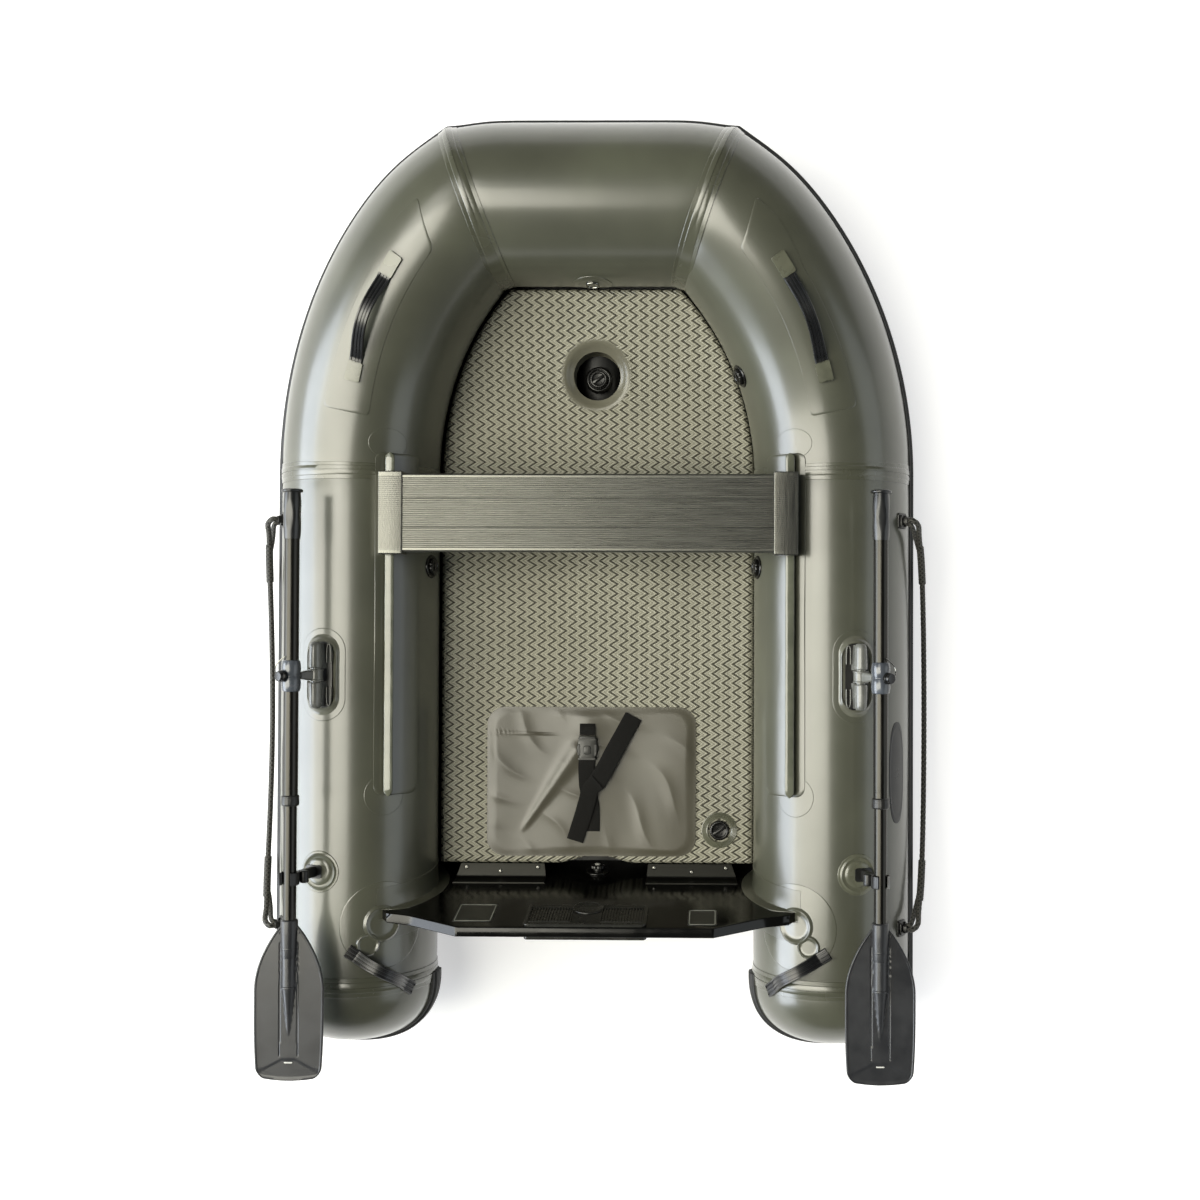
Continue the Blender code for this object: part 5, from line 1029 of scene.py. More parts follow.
def make_transom():
    """The board: loops round it from the bottom to the crest, with every edge rolled over."""
    roll = 0.0020
    turn = quarter(4)
    z = np.concatenate([[0.0287, 0.034, 0.045], np.linspace(0.06, 0.31, 40),
                        [EAR_Z, 0.325, 0.332, 0.338, 0.343, 0.348, 0.352], np.linspace(0.36, 0.400, 8),
                        BOARD_TOP[2] - roll * (1.0 - np.sin(turn))])
    inset = np.concatenate([np.zeros(len(z) - 4), roll * (1.0 - np.cos(turn))])[:, None]
    half = board_half_width(z)[:, None] - inset
    flat = (half - roll) * np.linspace(-1.0, 1.0, 60)
    edge_x = half - roll + roll * np.concatenate([np.sin(turn), np.cos(turn)])
    edge_d = np.concatenate([roll * (1 - np.cos(turn)), BOARD_THICKNESS - roll * (1 - np.sin(turn))])
    edge_d = np.clip(edge_d, inset, BOARD_THICKNESS - inset)
    front = np.zeros_like(flat) + inset
    x = np.concatenate([flat, edge_x, flat[:, ::-1], -edge_x[:, ::-1]], axis=1)
    depth = np.concatenate([front, edge_d, BOARD_THICKNESS - front, edge_d[:, ::-1]], axis=1)
    height = np.broadcast_to(z[:, None], x.shape)
    # The lowest row follows the bottom fabric, which sags 15 mm in the middle
    foot = 0.0242 - SKIN_DIP * (1.0 - np.abs(x[:1]) / 0.4350)
    x = np.concatenate([x[:1], x[:1], x])
    depth = np.concatenate([np.clip(depth[:1], roll, BOARD_THICKNESS - roll), depth[:1], depth])
    height = np.concatenate([foot, foot + 0.001, height])
    # Its ends are closed by the same points, all at half the board's depth
    x, height = repeated_ends(x), repeated_ends(height)
    depth = np.concatenate([0 * depth[:1], depth, 0 * depth[:1]])
    depth[[0, -1]] += BOARD_THICKNESS / 2
    piece("transom_board_plywood", [(together(x, board_face(height) - depth, height), False, True)],
          BOARD_FILM, replaces="transom_board", slot="plywood", sharp=40.0)


def relief_plate(half_x, half_y, thickness, relief, place, columns, rows):
    """A plate whose upper face is a height worked out from x and y, with rolled sides and a flat back."""
    corner, roll = 0.010, 0.0010
    turn = quarter(4)
    last = 0.03 * (1 - np.cos(turn[:-1]))
    y = half_y * np.concatenate([last - 1.0, np.linspace(-0.97, 0.97, rows), 1.0 - last[::-1]])[:, None]
    past = np.clip(np.abs(y) - (half_y - corner), 0.0, corner)
    reach = half_x - corner + np.sqrt(corner ** 2 - past ** 2)
    x = (reach - roll) * np.linspace(-1.0, 1.0, columns)
    side_x = reach - roll + roll * np.append(np.sin(turn), 1.0)
    rise = relief(x, y)
    drop = np.clip(1.0 - (half_y - np.abs(y)) / 0.0012, 0.0, 1.0) * roll
    top = thickness + rise - drop
    sides = np.maximum(top[:, -1:] + np.append(-roll * (1 - np.cos(turn)), -thickness), 0.0)
    xs = np.concatenate([x, side_x, x[:, ::-1], -side_x[:, ::-1]], axis=1)
    grid = together(xs, y, np.concatenate([top, sides, 0 * top, sides[:, ::-1]], axis=1))
    ends = [grid[k][None] * [1, 1, 0] + [0, 0, thickness / 2] for k in (0, -1)]
    return place(np.concatenate([ends[0], grid, ends[1]])), False, True


def pad_relief(x, y):
    """The inner pad's face: a raised border, and two fields of upright ribs 6 mm apart, each in a frame."""
    across, up = np.abs(np.abs(x) - 0.0745), np.abs(y)
    border = 0.0012 * ((np.abs(x) > 0.119) | (up > 0.048))
    ribs = 0.0022 * (np.cos(2 * np.pi * x / 0.0060) > 0.1)
    frame_step = 0.0018 * ((across < 0.0450) & (up < 0.0405))
    return border + np.where((across < 0.0425) & (up < 0.038), ribs - 0.0012, frame_step)


def outer_relief(x, y):
    """The outer pad's face: a raised border round rows of square studs, 12 mm apart."""
    border = 0.0010 * ((np.abs(x) > 0.118) | (np.abs(y) > 0.067))
    studs = (np.cos(2 * np.pi * x / 0.012) > -0.2) & (np.cos(2 * np.pi * y / 0.012) > -0.2)
    return border + 0.0010 * (studs & (np.abs(x) < 0.110) & (np.abs(y) < 0.060))


def make_pads():
    """The motor's two pads and the cup that takes the clamp screw, on the board's crest."""
    cup = rounded([(0.0, 0.0), (0.0330, 0.0), (0.0330, 0.0062), (0.0300, 0.0068), (0.0285, 0.0050),
                   (0.0215, 0.0044), (0.0190, 0.0020), (0.0, 0.0016)], 0.0012)
    inner = axes(on_board((0.0, 0.059, 0.0003)), BOARD_NORMAL, X_AXIS)
    outer = axes(on_board((0.0, 0.079, -0.0203)), -BOARD_NORMAL, X_AXIS)
    piece("motor_pad_inner_ribbed", [relief_plate(0.126, 0.055, 0.0040, pad_relief, inner, 340, 40),
                                     turned(cup, on_board((0.0, 0.097, 0.0003)), BOARD_NORMAL, 72)],
          PAD_RUBBER, replaces="motor_pad_inner", slot="black_plastic", sharp=35.0)
    piece("motor_pad_outer_studded", [relief_plate(0.126, 0.075, 0.0070, outer_relief, outer, 260, 130)],
          PAD_RUBBER, replaces="motor_pad_outer", slot="black_plastic", sharp=35.0)


def make_plates():
    """The two label plates, left bare: a dark film on each, and a thin light frame line near its edge."""
    for name, x, below, half_x, half_y, corner in (("port", -0.235, 0.077, 0.041, 0.048, 0.004),
                                                   ("starboard", 0.240, 0.058, 0.0305, 0.042, 0.006)):
        place = axes(on_board((x, below, 0.0)), BOARD_NORMAL, X_AXIS)
        piece(f"label_plate_{name}", [slab(oblong(half_x, half_y, corner), -0.0002, 0.0009, 0.0003, place)],
              PLATE_FILM, slot="black_plastic")
        outline = oblong(half_x - 0.003, half_y - 0.003, corner)
        inner = oblong(half_x - 0.0048, half_y - 0.0048, corner - 0.0012)
        loops = ((outline, 0.0007), (outline, 0.0012), (inner, 0.0012), (inner, 0.0007))
        grid = np.array([together(*loop.T, height) for loop, height in loops])
        piece(f"label_frame_{name}", [(place(grid), True, True)], PLATE_FRAME, slot="grey_plastic")


def make_brackets():
    """The floor brackets: a bent plate carried along the beam, its outer end cut back at a slant."""
    top, under, high, aft = DECK_TOP_Z, 0.1272, 0.164, -0.6043
    gap = 0.0003
    upper = rounded([(aft, top), (board_face(top) + gap + 0.0031, top),
                     (board_face(high) + gap + 0.003, high)], 0.005, 6)
    lower = rounded([(aft, under), (board_face(under) + gap + 0.0002, under),
                     (board_face(high) + gap + 0.0002, high)], 0.007, 6)
    section = np.concatenate([upper, lower[::-1]])
    bend, reach = 0.214, 0.102
    x = np.linspace(bend - reach, bend + reach, 30)[:, None]
    fore = (section[:, 0] - board_face(high) - gap) / 0.040
    slant = np.where(x > bend, -0.014, -0.004) * fore * (x - bend) / reach
    grid = capped(together(x + slant, *section.T), folded=True)
    dome = rounded([(0.0, -0.0010), (0.0048, -0.0010), (0.0048, 0.0006), (0.0034, 0.0022), (0.0016, 0.0026),
                    (0.0014, 0.0012), (0.0, 0.0012)], 0.0006)
    screws = [turned(dome, (x, y, top), Z_AXIS, 20)
              for x, y in ((0.130, -0.6125), (0.214, -0.6215), (0.290, -0.6125))]
    for name, side in SIDES.items():
        piece(f"floor_bracket_{name}", [(grid, False, True)], BRACKET_ALUMINIUM, side=side,
              replaces=f"{name}_floor_bracket", slot="grey_aluminium", sharp=35.0)
        piece(f"bracket_screws_{name}", screws, STEEL, side=side, slot="dark_aluminium")


def make_drain():
    """The drain: a flanged socket in the board, and its plug with a fluted head and a grey tip."""
    seat = on_board((0.0, (BOARD_TOP[2] - DRAIN_Z) / math.cos(RAKE), 0.0))
    flange = rounded([(0.0122, -0.024), (0.0158, -0.024), (0.0158, 0.0003), (0.0270, 0.0003),
                      (0.0270, 0.0030), (0.0250, 0.0043), (0.0140, 0.0043), (0.0122, 0.0030),
                      (0.0122, -0.024)], 0.0009)
    piece("drain_socket_flanged", [turned(flange[:-1], seat, BOARD_NORMAL, 56, closed=True)], VALVE_PLASTIC,
          replaces="drain_socket", slot="black_plastic")
    foot, tip = (corner[1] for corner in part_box("drain_plug"))
    length = tip - foot
    head = rounded([(0.0, 0.0), (0.0100, 0.0), (0.0116, 0.0020), (0.0116, 0.0140), (0.0168, 0.0142),
                    (0.0168, 0.0205), (0.0120, 0.0218), (0.0070, 0.0225), (0.0, 0.0225)], 0.0008)
    end = rounded([(0.0, 0.0210), (0.0064, 0.0210), (0.0066, length - 0.0012), (0.0050, length),
                   (0.0, length)], 0.0010)
    origin = (0.0, foot, DRAIN_Z)
    piece("drain_plug_body", [turned(head, origin, Y_AXIS, 72, (18, 0.0010))], VALVE_PLASTIC, "plug",
          replaces="drain_plug", slot="grey_plastic")
    piece("drain_plug_tip", [turned(end, origin, Y_AXIS, 40)], GREY_NYLON, "plug", slot="grey_plastic")


# The seat and its rails

BENCH_Y, BENCH_TOP, BENCH_THICK, BENCH_HALF = 0.1625, 0.370, 0.028, 0.0815
BENCH_EDGE = 0.004


def make_rails():
    """A rail: a glued flange, a web and a rounded T head, all following the tube past its cross seam."""
    along = np.linspace(-0.687, 0.054, 80)
    centre, _, outboard, up = tube_frame(along)
    centre = centre - 0.099 * outboard
    web = rounded([(-0.0040, 0.0), (-0.00175, 0.004), (-0.00175, 0.0240), (0.00175, 0.0240),
                   (0.00175, 0.003), (0.0040, -0.001)], 0.001)
    end = np.clip(np.minimum(along - along[0], along[-1] - along) / 0.009, 0.0, 1.0)
    narrow = np.sqrt(1.0 - (1.0 - end) ** 2) * 0.85 + 0.15
    wave = 1.0 + 0.03 * np.sin(along * 61.0) * np.sin(along * 23.0 + 1.0)
    head = scaled(oblong(0.0095, 0.0035, 0.0028, 4), narrow * wave, 0.8 + 0.2 * end)
    parts = [swept(centre + up * 0.1350, outboard, up, web),
             swept(centre + up * (0.3315 - TUBE_R), outboard, up, head)]
    for name, side in SIDES.items():
        patch(f"rail_flange_{name}", even_oblong(0.3705, 0.052, 0.020, 8, 320), -0.3165, math.radians(130.5),
              RING_PATCH, side, 0.0020, 0.0022, replaces=f"{name}_seat_rail", slot="grey_plastic")
        piece(f"seat_rail_track_{name}", parts, RAIL_PVC, side=side, slot="grey_plastic", sharp=40.0)
        for number, (place, angle) in enumerate(((0.080, 122.0), (-0.686, 121.0))):
            patch(f"rail_end_patch_{name}_{number + 1}", circle(0.043, 64), place, math.radians(angle),
                  RING_PATCH, side, 0.0007, 0.0012)


def make_seat():
    """The bench: a ribbed extrusion with round edges, in two caps that run on the rails' T heads."""
    flat, edge_r = BENCH_HALF - BENCH_EDGE, BENCH_EDGE
    y = np.linspace(-flat, flat, 420)
    ribs = -0.00045 * (0.5 - 0.5 * np.cos(2 * np.pi * y / 0.0039)) ** 2
    bands = -0.0004 * bell(np.abs(y) - 0.030, 0.0012)
    upper = together(y, (ribs + bands) * (np.abs(y) < BENCH_HALF - 0.007))[::-1]
    sine, cosine = edge_r * np.sin(quarter(5)), edge_r * np.cos(quarter(5))
    section = np.concatenate([upper, together(-flat - sine, cosine - edge_r),
                              together(-flat - cosine, edge_r - BENCH_THICK - sine),
                              together(flat + sine, edge_r - BENCH_THICK - cosine),
                              together(flat + cosine, sine - edge_r)])
    path = together(np.linspace(-0.424, 0.424, 12), BENCH_Y, BENCH_TOP)
    piece("seat_plank_ribbed", [swept(path, Y_AXIS, Z_AXIS, section)], PLANK_ALUMINIUM, "seat",
          replaces="seat_plank", slot="dark_aluminium", sharp=40.0)
    # The caps' section: x across the boat from the cap's middle, and height over the floor
    reach, roll_r, steps = 0.0865, 0.0025, 260
    y = np.linspace(-reach, reach, steps)
    end = np.clip((reach - np.abs(y)) / roll_r, 0.0, 1.0)
    roll = roll_r * (1.0 - np.sqrt(1.0 - (1.0 - end) ** 2))
    ribs = 0.0003 * (0.5 + 0.5 * np.cos(2 * np.pi * y / 0.0042)) * (np.abs(y) < 0.079)
    cap = rounded([(0.0, 0.3370), (-0.0320, 0.3370), (-0.0320, 0.3735), (0.0180, 0.3735), (0.0180, 0.3370),
                   (0.0, 0.3370)], 0.0022, 5)[:-1]
    block = np.broadcast_to(cap, (steps, *cap.shape)).copy()
    block[..., 1] -= (block[..., 1] > 0.3730) * (roll + ribs)[:, None]
    block[..., 0] += (block[..., 0] < -0.031) * roll[:, None] * 0.5
    # An inner and an outer leg, each with a lip under the rail's head
    legs = [oblong(half_x, half_y, corner, 3) + middle for half_x, half_y, corner, middle in (
        (0.0105, 0.0075, 0.0012, (-0.0215, 0.3300)), (0.0090, 0.0016, 0.0008, (-0.0125, 0.3241)),
        (0.0024, 0.0075, 0.0010, (0.0158, 0.3300)), (0.0070, 0.0016, 0.0008, (0.0105, 0.3241)))]
    path = together(0.418, BENCH_Y + y, 0.0)
    parts = [swept(path, X_AXIS, Z_AXIS, shape) for shape in (block, *legs)]
    for name, side in SIDES.items():
        piece(f"seat_slider_cap_{name}", parts, SLIDER_CAP, "seat", side, replaces=f"{name}_seat_slider",
              slot="black_plastic", sharp=35.0)


make_transom()
make_pads()
make_plates()
make_brackets()
make_drain()
make_rails()
make_seat()


# The oarlocks, the oars and their clips

OARLOCK_Y = -0.176
OARLOCK_ALONG = OARLOCK_Y - CROSS_SEAM_Y
OARLOCK_ANGLE = math.radians(76.6)
AXLE = np.array([0.56598, OARLOCK_Y, 0.3630])
PIN = np.array([0.57358, 0.0, 0.81915])
OAR = np.array([0.60183, OARLOCK_Y, 0.4142])
# The stowed oar's middle line starts beside the hull's middle and runs along the hull
OAR_LINE = OAR * [1.0, 0.0, 1.0]


def make_housing():
    """What is glued on under an oar: two tapered barrels on saddles, and a U-shaped guard beside each."""
    spoke = np.array([math.cos(OARLOCK_ANGLE), 0.0, math.sin(OARLOCK_ANGLE)])
    across = np.array([-spoke[2], 0.0, spoke[0]])
    barrel = rounded([(0.0, 0.0150), (0.0160, 0.0150), (0.0170, 0.0180), (0.0165, 0.0420),
                      (0.0150, 0.0630), (0.0110, 0.0695), (0.0, 0.0695)], 0.0050, 6)
    parts = []
    for end in (-1.0, 1.0):
        grid, *wraps = turned(barrel, AXLE, end * Y_AXIS, 56)
        # Seen from the end a barrel is an oval, narrower across the tube than it is high
        parts.append((grid - across * ((grid - AXLE) @ across)[..., None] * 0.18, *wraps))
        # A saddle fills the space between the barrel and the plate
        y = np.linspace(0.0135, 0.0660, 14)
        half = np.interp(y, [0.0135, 0.045, 0.066], [0.0125, 0.0120, 0.0090])
        parts.append(swept(AXLE + end * y[:, None] * Y_AXIS - spoke * 0.012, across, spoke,
                           scaled(oblong(1.0, 0.0135, 0.006, 3), half, 1.0)))
        # The guard is on the inboard half of the plate
        u = np.linspace(-1.0, 1.0, 40)
        along = OARLOCK_ALONG + end * (0.040 + 0.024 * np.cos(u * np.pi / 2) ** 0.5 - 0.014 * np.abs(u) ** 8)
        angle = OARLOCK_ANGLE + (0.0190 + 0.0042 * np.sin(u * np.pi / 2)) / TUBE_R
        loop = on_tube(along, angle, 0.0100)
        lift = unit(on_tube(along, angle, 0.0200) - loop)
        sideways = unit(np.cross(np.gradient(loop, axis=0), lift))
        parts.append(swept(loop, sideways, lift, oblong(0.0012, 0.0040, 0.0010, 3)))
    return parts


def make_oarlocks():
    """Each oarlock: a glued base with a rolled rim, two tapered barrels, and the axle with its pin."""
    housing = make_housing()
    collar = rounded([(0.0, -0.0660), (0.0098, -0.0660), (0.0098, -0.0120), (0.0165, -0.0120),
                      (0.0165, -0.0095), (0.0150, -0.0090), (0.0150, 0.0090), (0.0165, 0.0095),
                      (0.0165, 0.0120), (0.0098, 0.0120), (0.0098, 0.0660), (0.0, 0.0660)], 0.0006)
    out = np.linspace(0.008, 0.0410, 12)
    half = np.interp(out, [0.008, 0.022, 0.034, 0.041], [0.0105, 0.0102, 0.0085, 0.0062])
    thick = np.interp(out, [0.008, 0.022, 0.041], [0.0080, 0.0075, 0.0060])
    pin = rounded([(0.0, 0.0300), (0.0050, 0.0300), (0.0050, 0.0890), (0.0, 0.0890)], 0.0006)
    arm = [turned(collar, AXLE, Y_AXIS, 56),
           swept(AXLE + PIN * out[:, None], Y_AXIS, np.cross(Y_AXIS, PIN),
                 scaled(oblong(1.0, 1.0, 0.45, 4), half, thick)),
           turned(pin, AXLE, PIN, 28)]
    cap = rounded([(0.0, 0.0198), (0.0120, 0.0198), (0.0122, 0.0262), (0.0098, 0.0270), (0.0098, 0.0290),
                   (0.0115, 0.0296), (0.0100, 0.0338), (0.0, 0.0338)], 0.0010)
    # The wire that keeps the cap on: out of its side, round in a bow and back on to the sleeve
    u = np.linspace(0.0, 1.0, 50)[:, None]
    wire_path = (OAR + PIN * (0.0282 - 0.0110 * u ** 2) + Y_AXIS * (0.002 + 0.038 * u)
                 + np.cross(Y_AXIS, PIN) * (0.012 + 0.013 * np.sin(np.pi * u * 0.90) - 0.018 * u))
    for name, side in SIDES.items():
        patch(f"oarlock_patch_{name}", even_oblong(0.098, 0.050, 0.048), OARLOCK_ALONG, OARLOCK_ANGLE,
              RING_PATCH, side, 0.0008, 0.0016)
        patch(f"oarlock_rim_{name}", even_oblong(0.086, 0.038, 0.037), OARLOCK_ALONG, OARLOCK_ANGLE,
              RIM_MOULDING, side, 0.0018, 0.0040, height=lambda share: 0.0060 * bell(share - 0.84, 0.070))
        patch(f"oarlock_plate_{name}", even_oblong(0.0710, 0.0235, 0.014), OARLOCK_ALONG,
              OARLOCK_ANGLE + 0.005, NYLON, side, 0.0070, 0.0022, replaces=f"{name}_oarlock_base",
              slot="black_plastic")
        piece(f"oarlock_barrels_{name}", housing, OARLOCK_NYLON, side=side, slot="black_plastic", sharp=40.0)
        piece(f"oarlock_axle_arm_{name}", arm, OARLOCK_NYLON, f"{name}_swivel", side,
              replaces=f"{name}_oarlock_axle", slot="black_plastic", sharp=40.0)
        piece(f"pin_cap_turned_{name}", [turned(cap, OAR, PIN, 44)], VALVE_PLASTIC, f"{name}_swivel", side,
              replaces=f"{name}_pin_cap", slot="grey_plastic")
        piece(f"pin_wire_{name}", [swept(wire_path, *along_path(wire_path, PIN), circle(0.0012, 8))], STEEL,
              f"{name}_swivel", side, slot="dark_aluminium")


def grip_radius(share, turn):
    """The grip's radius: a barrel with four long oval flats, deepest in the middle of their length."""
    barrel = 0.0158 + 0.0026 * np.sin(np.pi * np.clip(share * 0.92 + 0.04, 0, 1)) ** 0.8
    oval = np.sin(np.pi * np.clip((share - 0.12) / 0.76, 0.0, 1.0))
    flat = np.clip(np.cos(2.0 * turn) ** 2 - (1.0 - oval) * 1.2, 0.0, 1.0)
    return barrel - 0.0020 * flat * oval


def tube_profile(radius, start, end, closing):
    """A tube's profile: 24 points between two places, and before and after them the ones that close it."""
    return np.concatenate([closing[0], together(radius, np.linspace(start, end, 24)), closing[1]])


def make_oars():
    """Each oar: a moulded grip, a tube, the sleeve on the pin, the joint ring, and the blade's tube."""
    share, turn = np.linspace(0.0, 1.0, 60)[:, None], full_turn(64)[None]
    radius = grip_radius(share, turn)
    grip = OAR_LINE + together(radius * np.cos(turn), 0.2005 - 0.0960 * share, radius * np.sin(turn))
    knob = rounded([(0.0, 0.2065), (0.0185, 0.2065), (0.0215, 0.2045), (0.0215, 0.2010), (0.0185, 0.1995),
                    (0.0, 0.1995)], 0.0012)
    tube = rounded([(0.0, 0.1200), (0.0150, 0.1200), (0.0150, -0.4100), (0.0, -0.4100)], 0.0004)
    upper = tube_profile(0.015, 0.11, -0.40, (tube[:2], tube[-2:]))
    lower = tube_profile(0.0132, -0.380, -0.700, ([(0.0, -0.380)], [(0.0, -0.700)]))
    plug = [(0.0, -0.4080), (0.0150, -0.4080), (0.0150, -0.4205), (0.0, -0.4205)]
    ring = rounded([(0.0, -0.4190), (0.0160, -0.4190), (0.0180, -0.4215), (0.0176, -0.4262),
                    (0.0182, -0.4300), (0.0182, -0.4385), (0.0165, -0.4408), (0.0134, -0.4410),
                    (0.0, -0.4410)], 0.0012)
    reach = 0.0320
    along = np.linspace(-reach, reach, 60)
    bulge = 0.0168 + 0.0027 * np.abs(np.sin(np.pi * along / reach)) ** 0.7
    bulge[[0, -1]] = 0.0156
    sleeve = np.concatenate([[(0.0151, -reach)], together(bulge, along), [(0.0151, reach)]])
    sleeve = sleeve + [0.0, OARLOCK_Y]
    blade = blade_parts()
    mark = slab(oblong(0.0085, 0.0013, 0.0010), 0.0, 0.0018, 0.0004,
                axes(OAR_LINE + [0.0, -0.9630, 0.0012], Z_AXIS, X_AXIS))
    for name, side in SIDES.items():
        held, turning = f"{name}_upper_oar", f"{name}_lower_oar"
        for kind, parts, material, body, node, slot, sharp in (
                ("grip_moulded", [(capped(grip), False, True), turned(knob, OAR_LINE, Y_AXIS, 56)],
                 HANDLE_RUBBER, held, "grip", "black_rubber", 40.0),
                ("tube_upper", [turned(upper, OAR_LINE, Y_AXIS), turned(plug, OAR_LINE, Y_AXIS)],
                 SHAFT_ALUMINIUM, held, "upper_shaft", "black_aluminium", 30.0),
                ("joint_ring", [turned(ring, OAR_LINE, Y_AXIS, 64, (16, 0.0004))], NYLON, held, "",
                 "black_plastic", 30.0),
                ("sleeve_moulded", [turned(sleeve, OAR_LINE, Y_AXIS, 56, closed=True)], SLEEVE_NYLON, held,
                 "sleeve", "black_plastic", 30.0),
                ("tube_lower", [turned(lower, OAR_LINE, Y_AXIS, 44)], SHAFT_ALUMINIUM, turning,
                 "lower_shaft", "black_aluminium", 30.0),
                ("blade_moulded", blade, BLADE_NYLON, turning, "blade", "black_plastic", 30.0)):
            piece(f"oar_{kind}_{name}", parts, material, body, side, slot=slot, sharp=sharp,
                  replaces=f"{name}_oar_{node}" if node else ())
        piece(f"blade_slot_mark_{name}", [mark], WHITE_MARK, turning, side, slot="grey_plastic")


BLADE_ROOT_Y, BLADE_TIP_Y, TIP_CORNER = -0.684, -1.0005, 0.022
BLADE_STRAIGHT_Y = BLADE_TIP_Y + TIP_CORNER


def blade_half_width(y):
    """Half the blade's width: a shoulder that grows as a sine, straight sides, round corners at the tip."""
    share = np.clip((BLADE_ROOT_Y - y) / 0.134, 0.0, 1.0)
    half = 0.016 + 0.0555 * np.sin(np.pi / 2 * share) ** 0.85
    past = np.clip(BLADE_STRAIGHT_Y - y, 0.0, TIP_CORNER)
    bowed = 0.0035 * np.clip((-0.86 - y) / 0.12, 0.0, 1.0) ** 2
    return half - bowed - TIP_CORNER + np.sqrt(TIP_CORNER ** 2 - past ** 2)


def blade_parts():
    """The blade: both faces are the same height map, with a rim, a tapering spine and sunken facets."""
    end = TIP_CORNER * (1.0 - np.cos(quarter(9)))
    y = np.concatenate([np.linspace(BLADE_ROOT_Y, BLADE_STRAIGHT_Y, 120), BLADE_TIP_Y + end[::-1][1:]])
    y = y[:, None]
    half = blade_half_width(y)
    x = half * np.sin(np.linspace(-np.pi / 2, np.pi / 2, 110))
    edge = np.minimum(half - np.abs(x), y - BLADE_TIP_Y)
    rim = 0.0014 * ease((0.0052 - edge) / 0.0016)
    roll_r = 0.0024
    roll = roll_r * (1.0 - np.sqrt(1.0 - (1.0 - np.clip(edge / roll_r, 0.0, 1.0)) ** 2))
    spine_r = np.interp(-y, [-BLADE_ROOT_Y, 0.810, 0.925], [0.0150, 0.0142, 0.0010])
    spine = np.sqrt(np.clip(spine_r ** 2 - x ** 2, 0.0, None)) * (spine_r > 0.0011)
    channel = 0.0012 * (np.abs(np.abs(x) - 0.0185) < 0.0014) * (y > -0.950) * (y < -0.72)
    facet = 0.0016 * np.clip(1.0 - np.abs(x) / np.maximum(half, 1e-6), 0.0, 1.0)
    # Near the tip the face dips past a line that runs across it and then out to both corners
    bent = -0.955 - y - np.maximum(np.abs(x) - 0.014, 0.0) * 0.62
    facet = facet - 0.0016 * ease(bent / 0.003)
    height = np.maximum(np.maximum(0.0018 + rim + facet * 0.6 - channel, spine) - roll, 0.0002)
    height[:, [0, -1]] = 0.0
    height[-1] = 0.0
    tip_bow = 0.0070 * (x / 0.068) ** 2 * ease((-0.93 - y) / 0.06)
    face = together(x, y + tip_bow, height)
    grid = np.concatenate([face, face[:, ::-1] * [1.0, 1.0, -1.0]], axis=1)
    grid = OAR_LINE + np.concatenate([grid[:1] * [1.0, 1.0, 0.0], grid])
    neck = rounded([(0.0, -0.672), (0.0150, -0.672), (0.0172, -0.6745), (0.0172, -0.7000), (0.0160, -0.7300),
                    (0.0150, -0.7500), (0.0, -0.7500)], 0.0018)
    parts = [(grid, False, True), turned(neck, OAR_LINE, Y_AXIS, 52)]
    # Two moulded ties over the spine, and rivets beside the neck
    turn = np.linspace(np.radians(20.0), np.radians(160.0), 20)
    out = together(np.cos(turn), 0.0, np.sin(turn))
    parts += [swept(OAR_LINE + place * Y_AXIS + 0.0152 * out, Y_AXIS, out, oblong(0.0022, 0.0011, 0.0008, 3))
              for place in (-0.7310, -0.8100)]
    rivet = rounded([(0.0, 0.0), (0.0022, 0.0), (0.0022, 0.0014), (0.0, 0.0018)], 0.0006)
    return parts + [turned(rivet, OAR_LINE + [x, -0.7000, 0.0018], Z_AXIS, 14) for x in (-0.0205, 0.0205)]


CLIP_Y = -0.589


def clip_patch_height(share):
    """A ring near the patch's edge, as a bell, and a dome in its middle."""
    return 0.0016 * bell(share - 0.80, 0.05) + 0.0030 * (1.0 - share ** 2) * (share < 0.6)


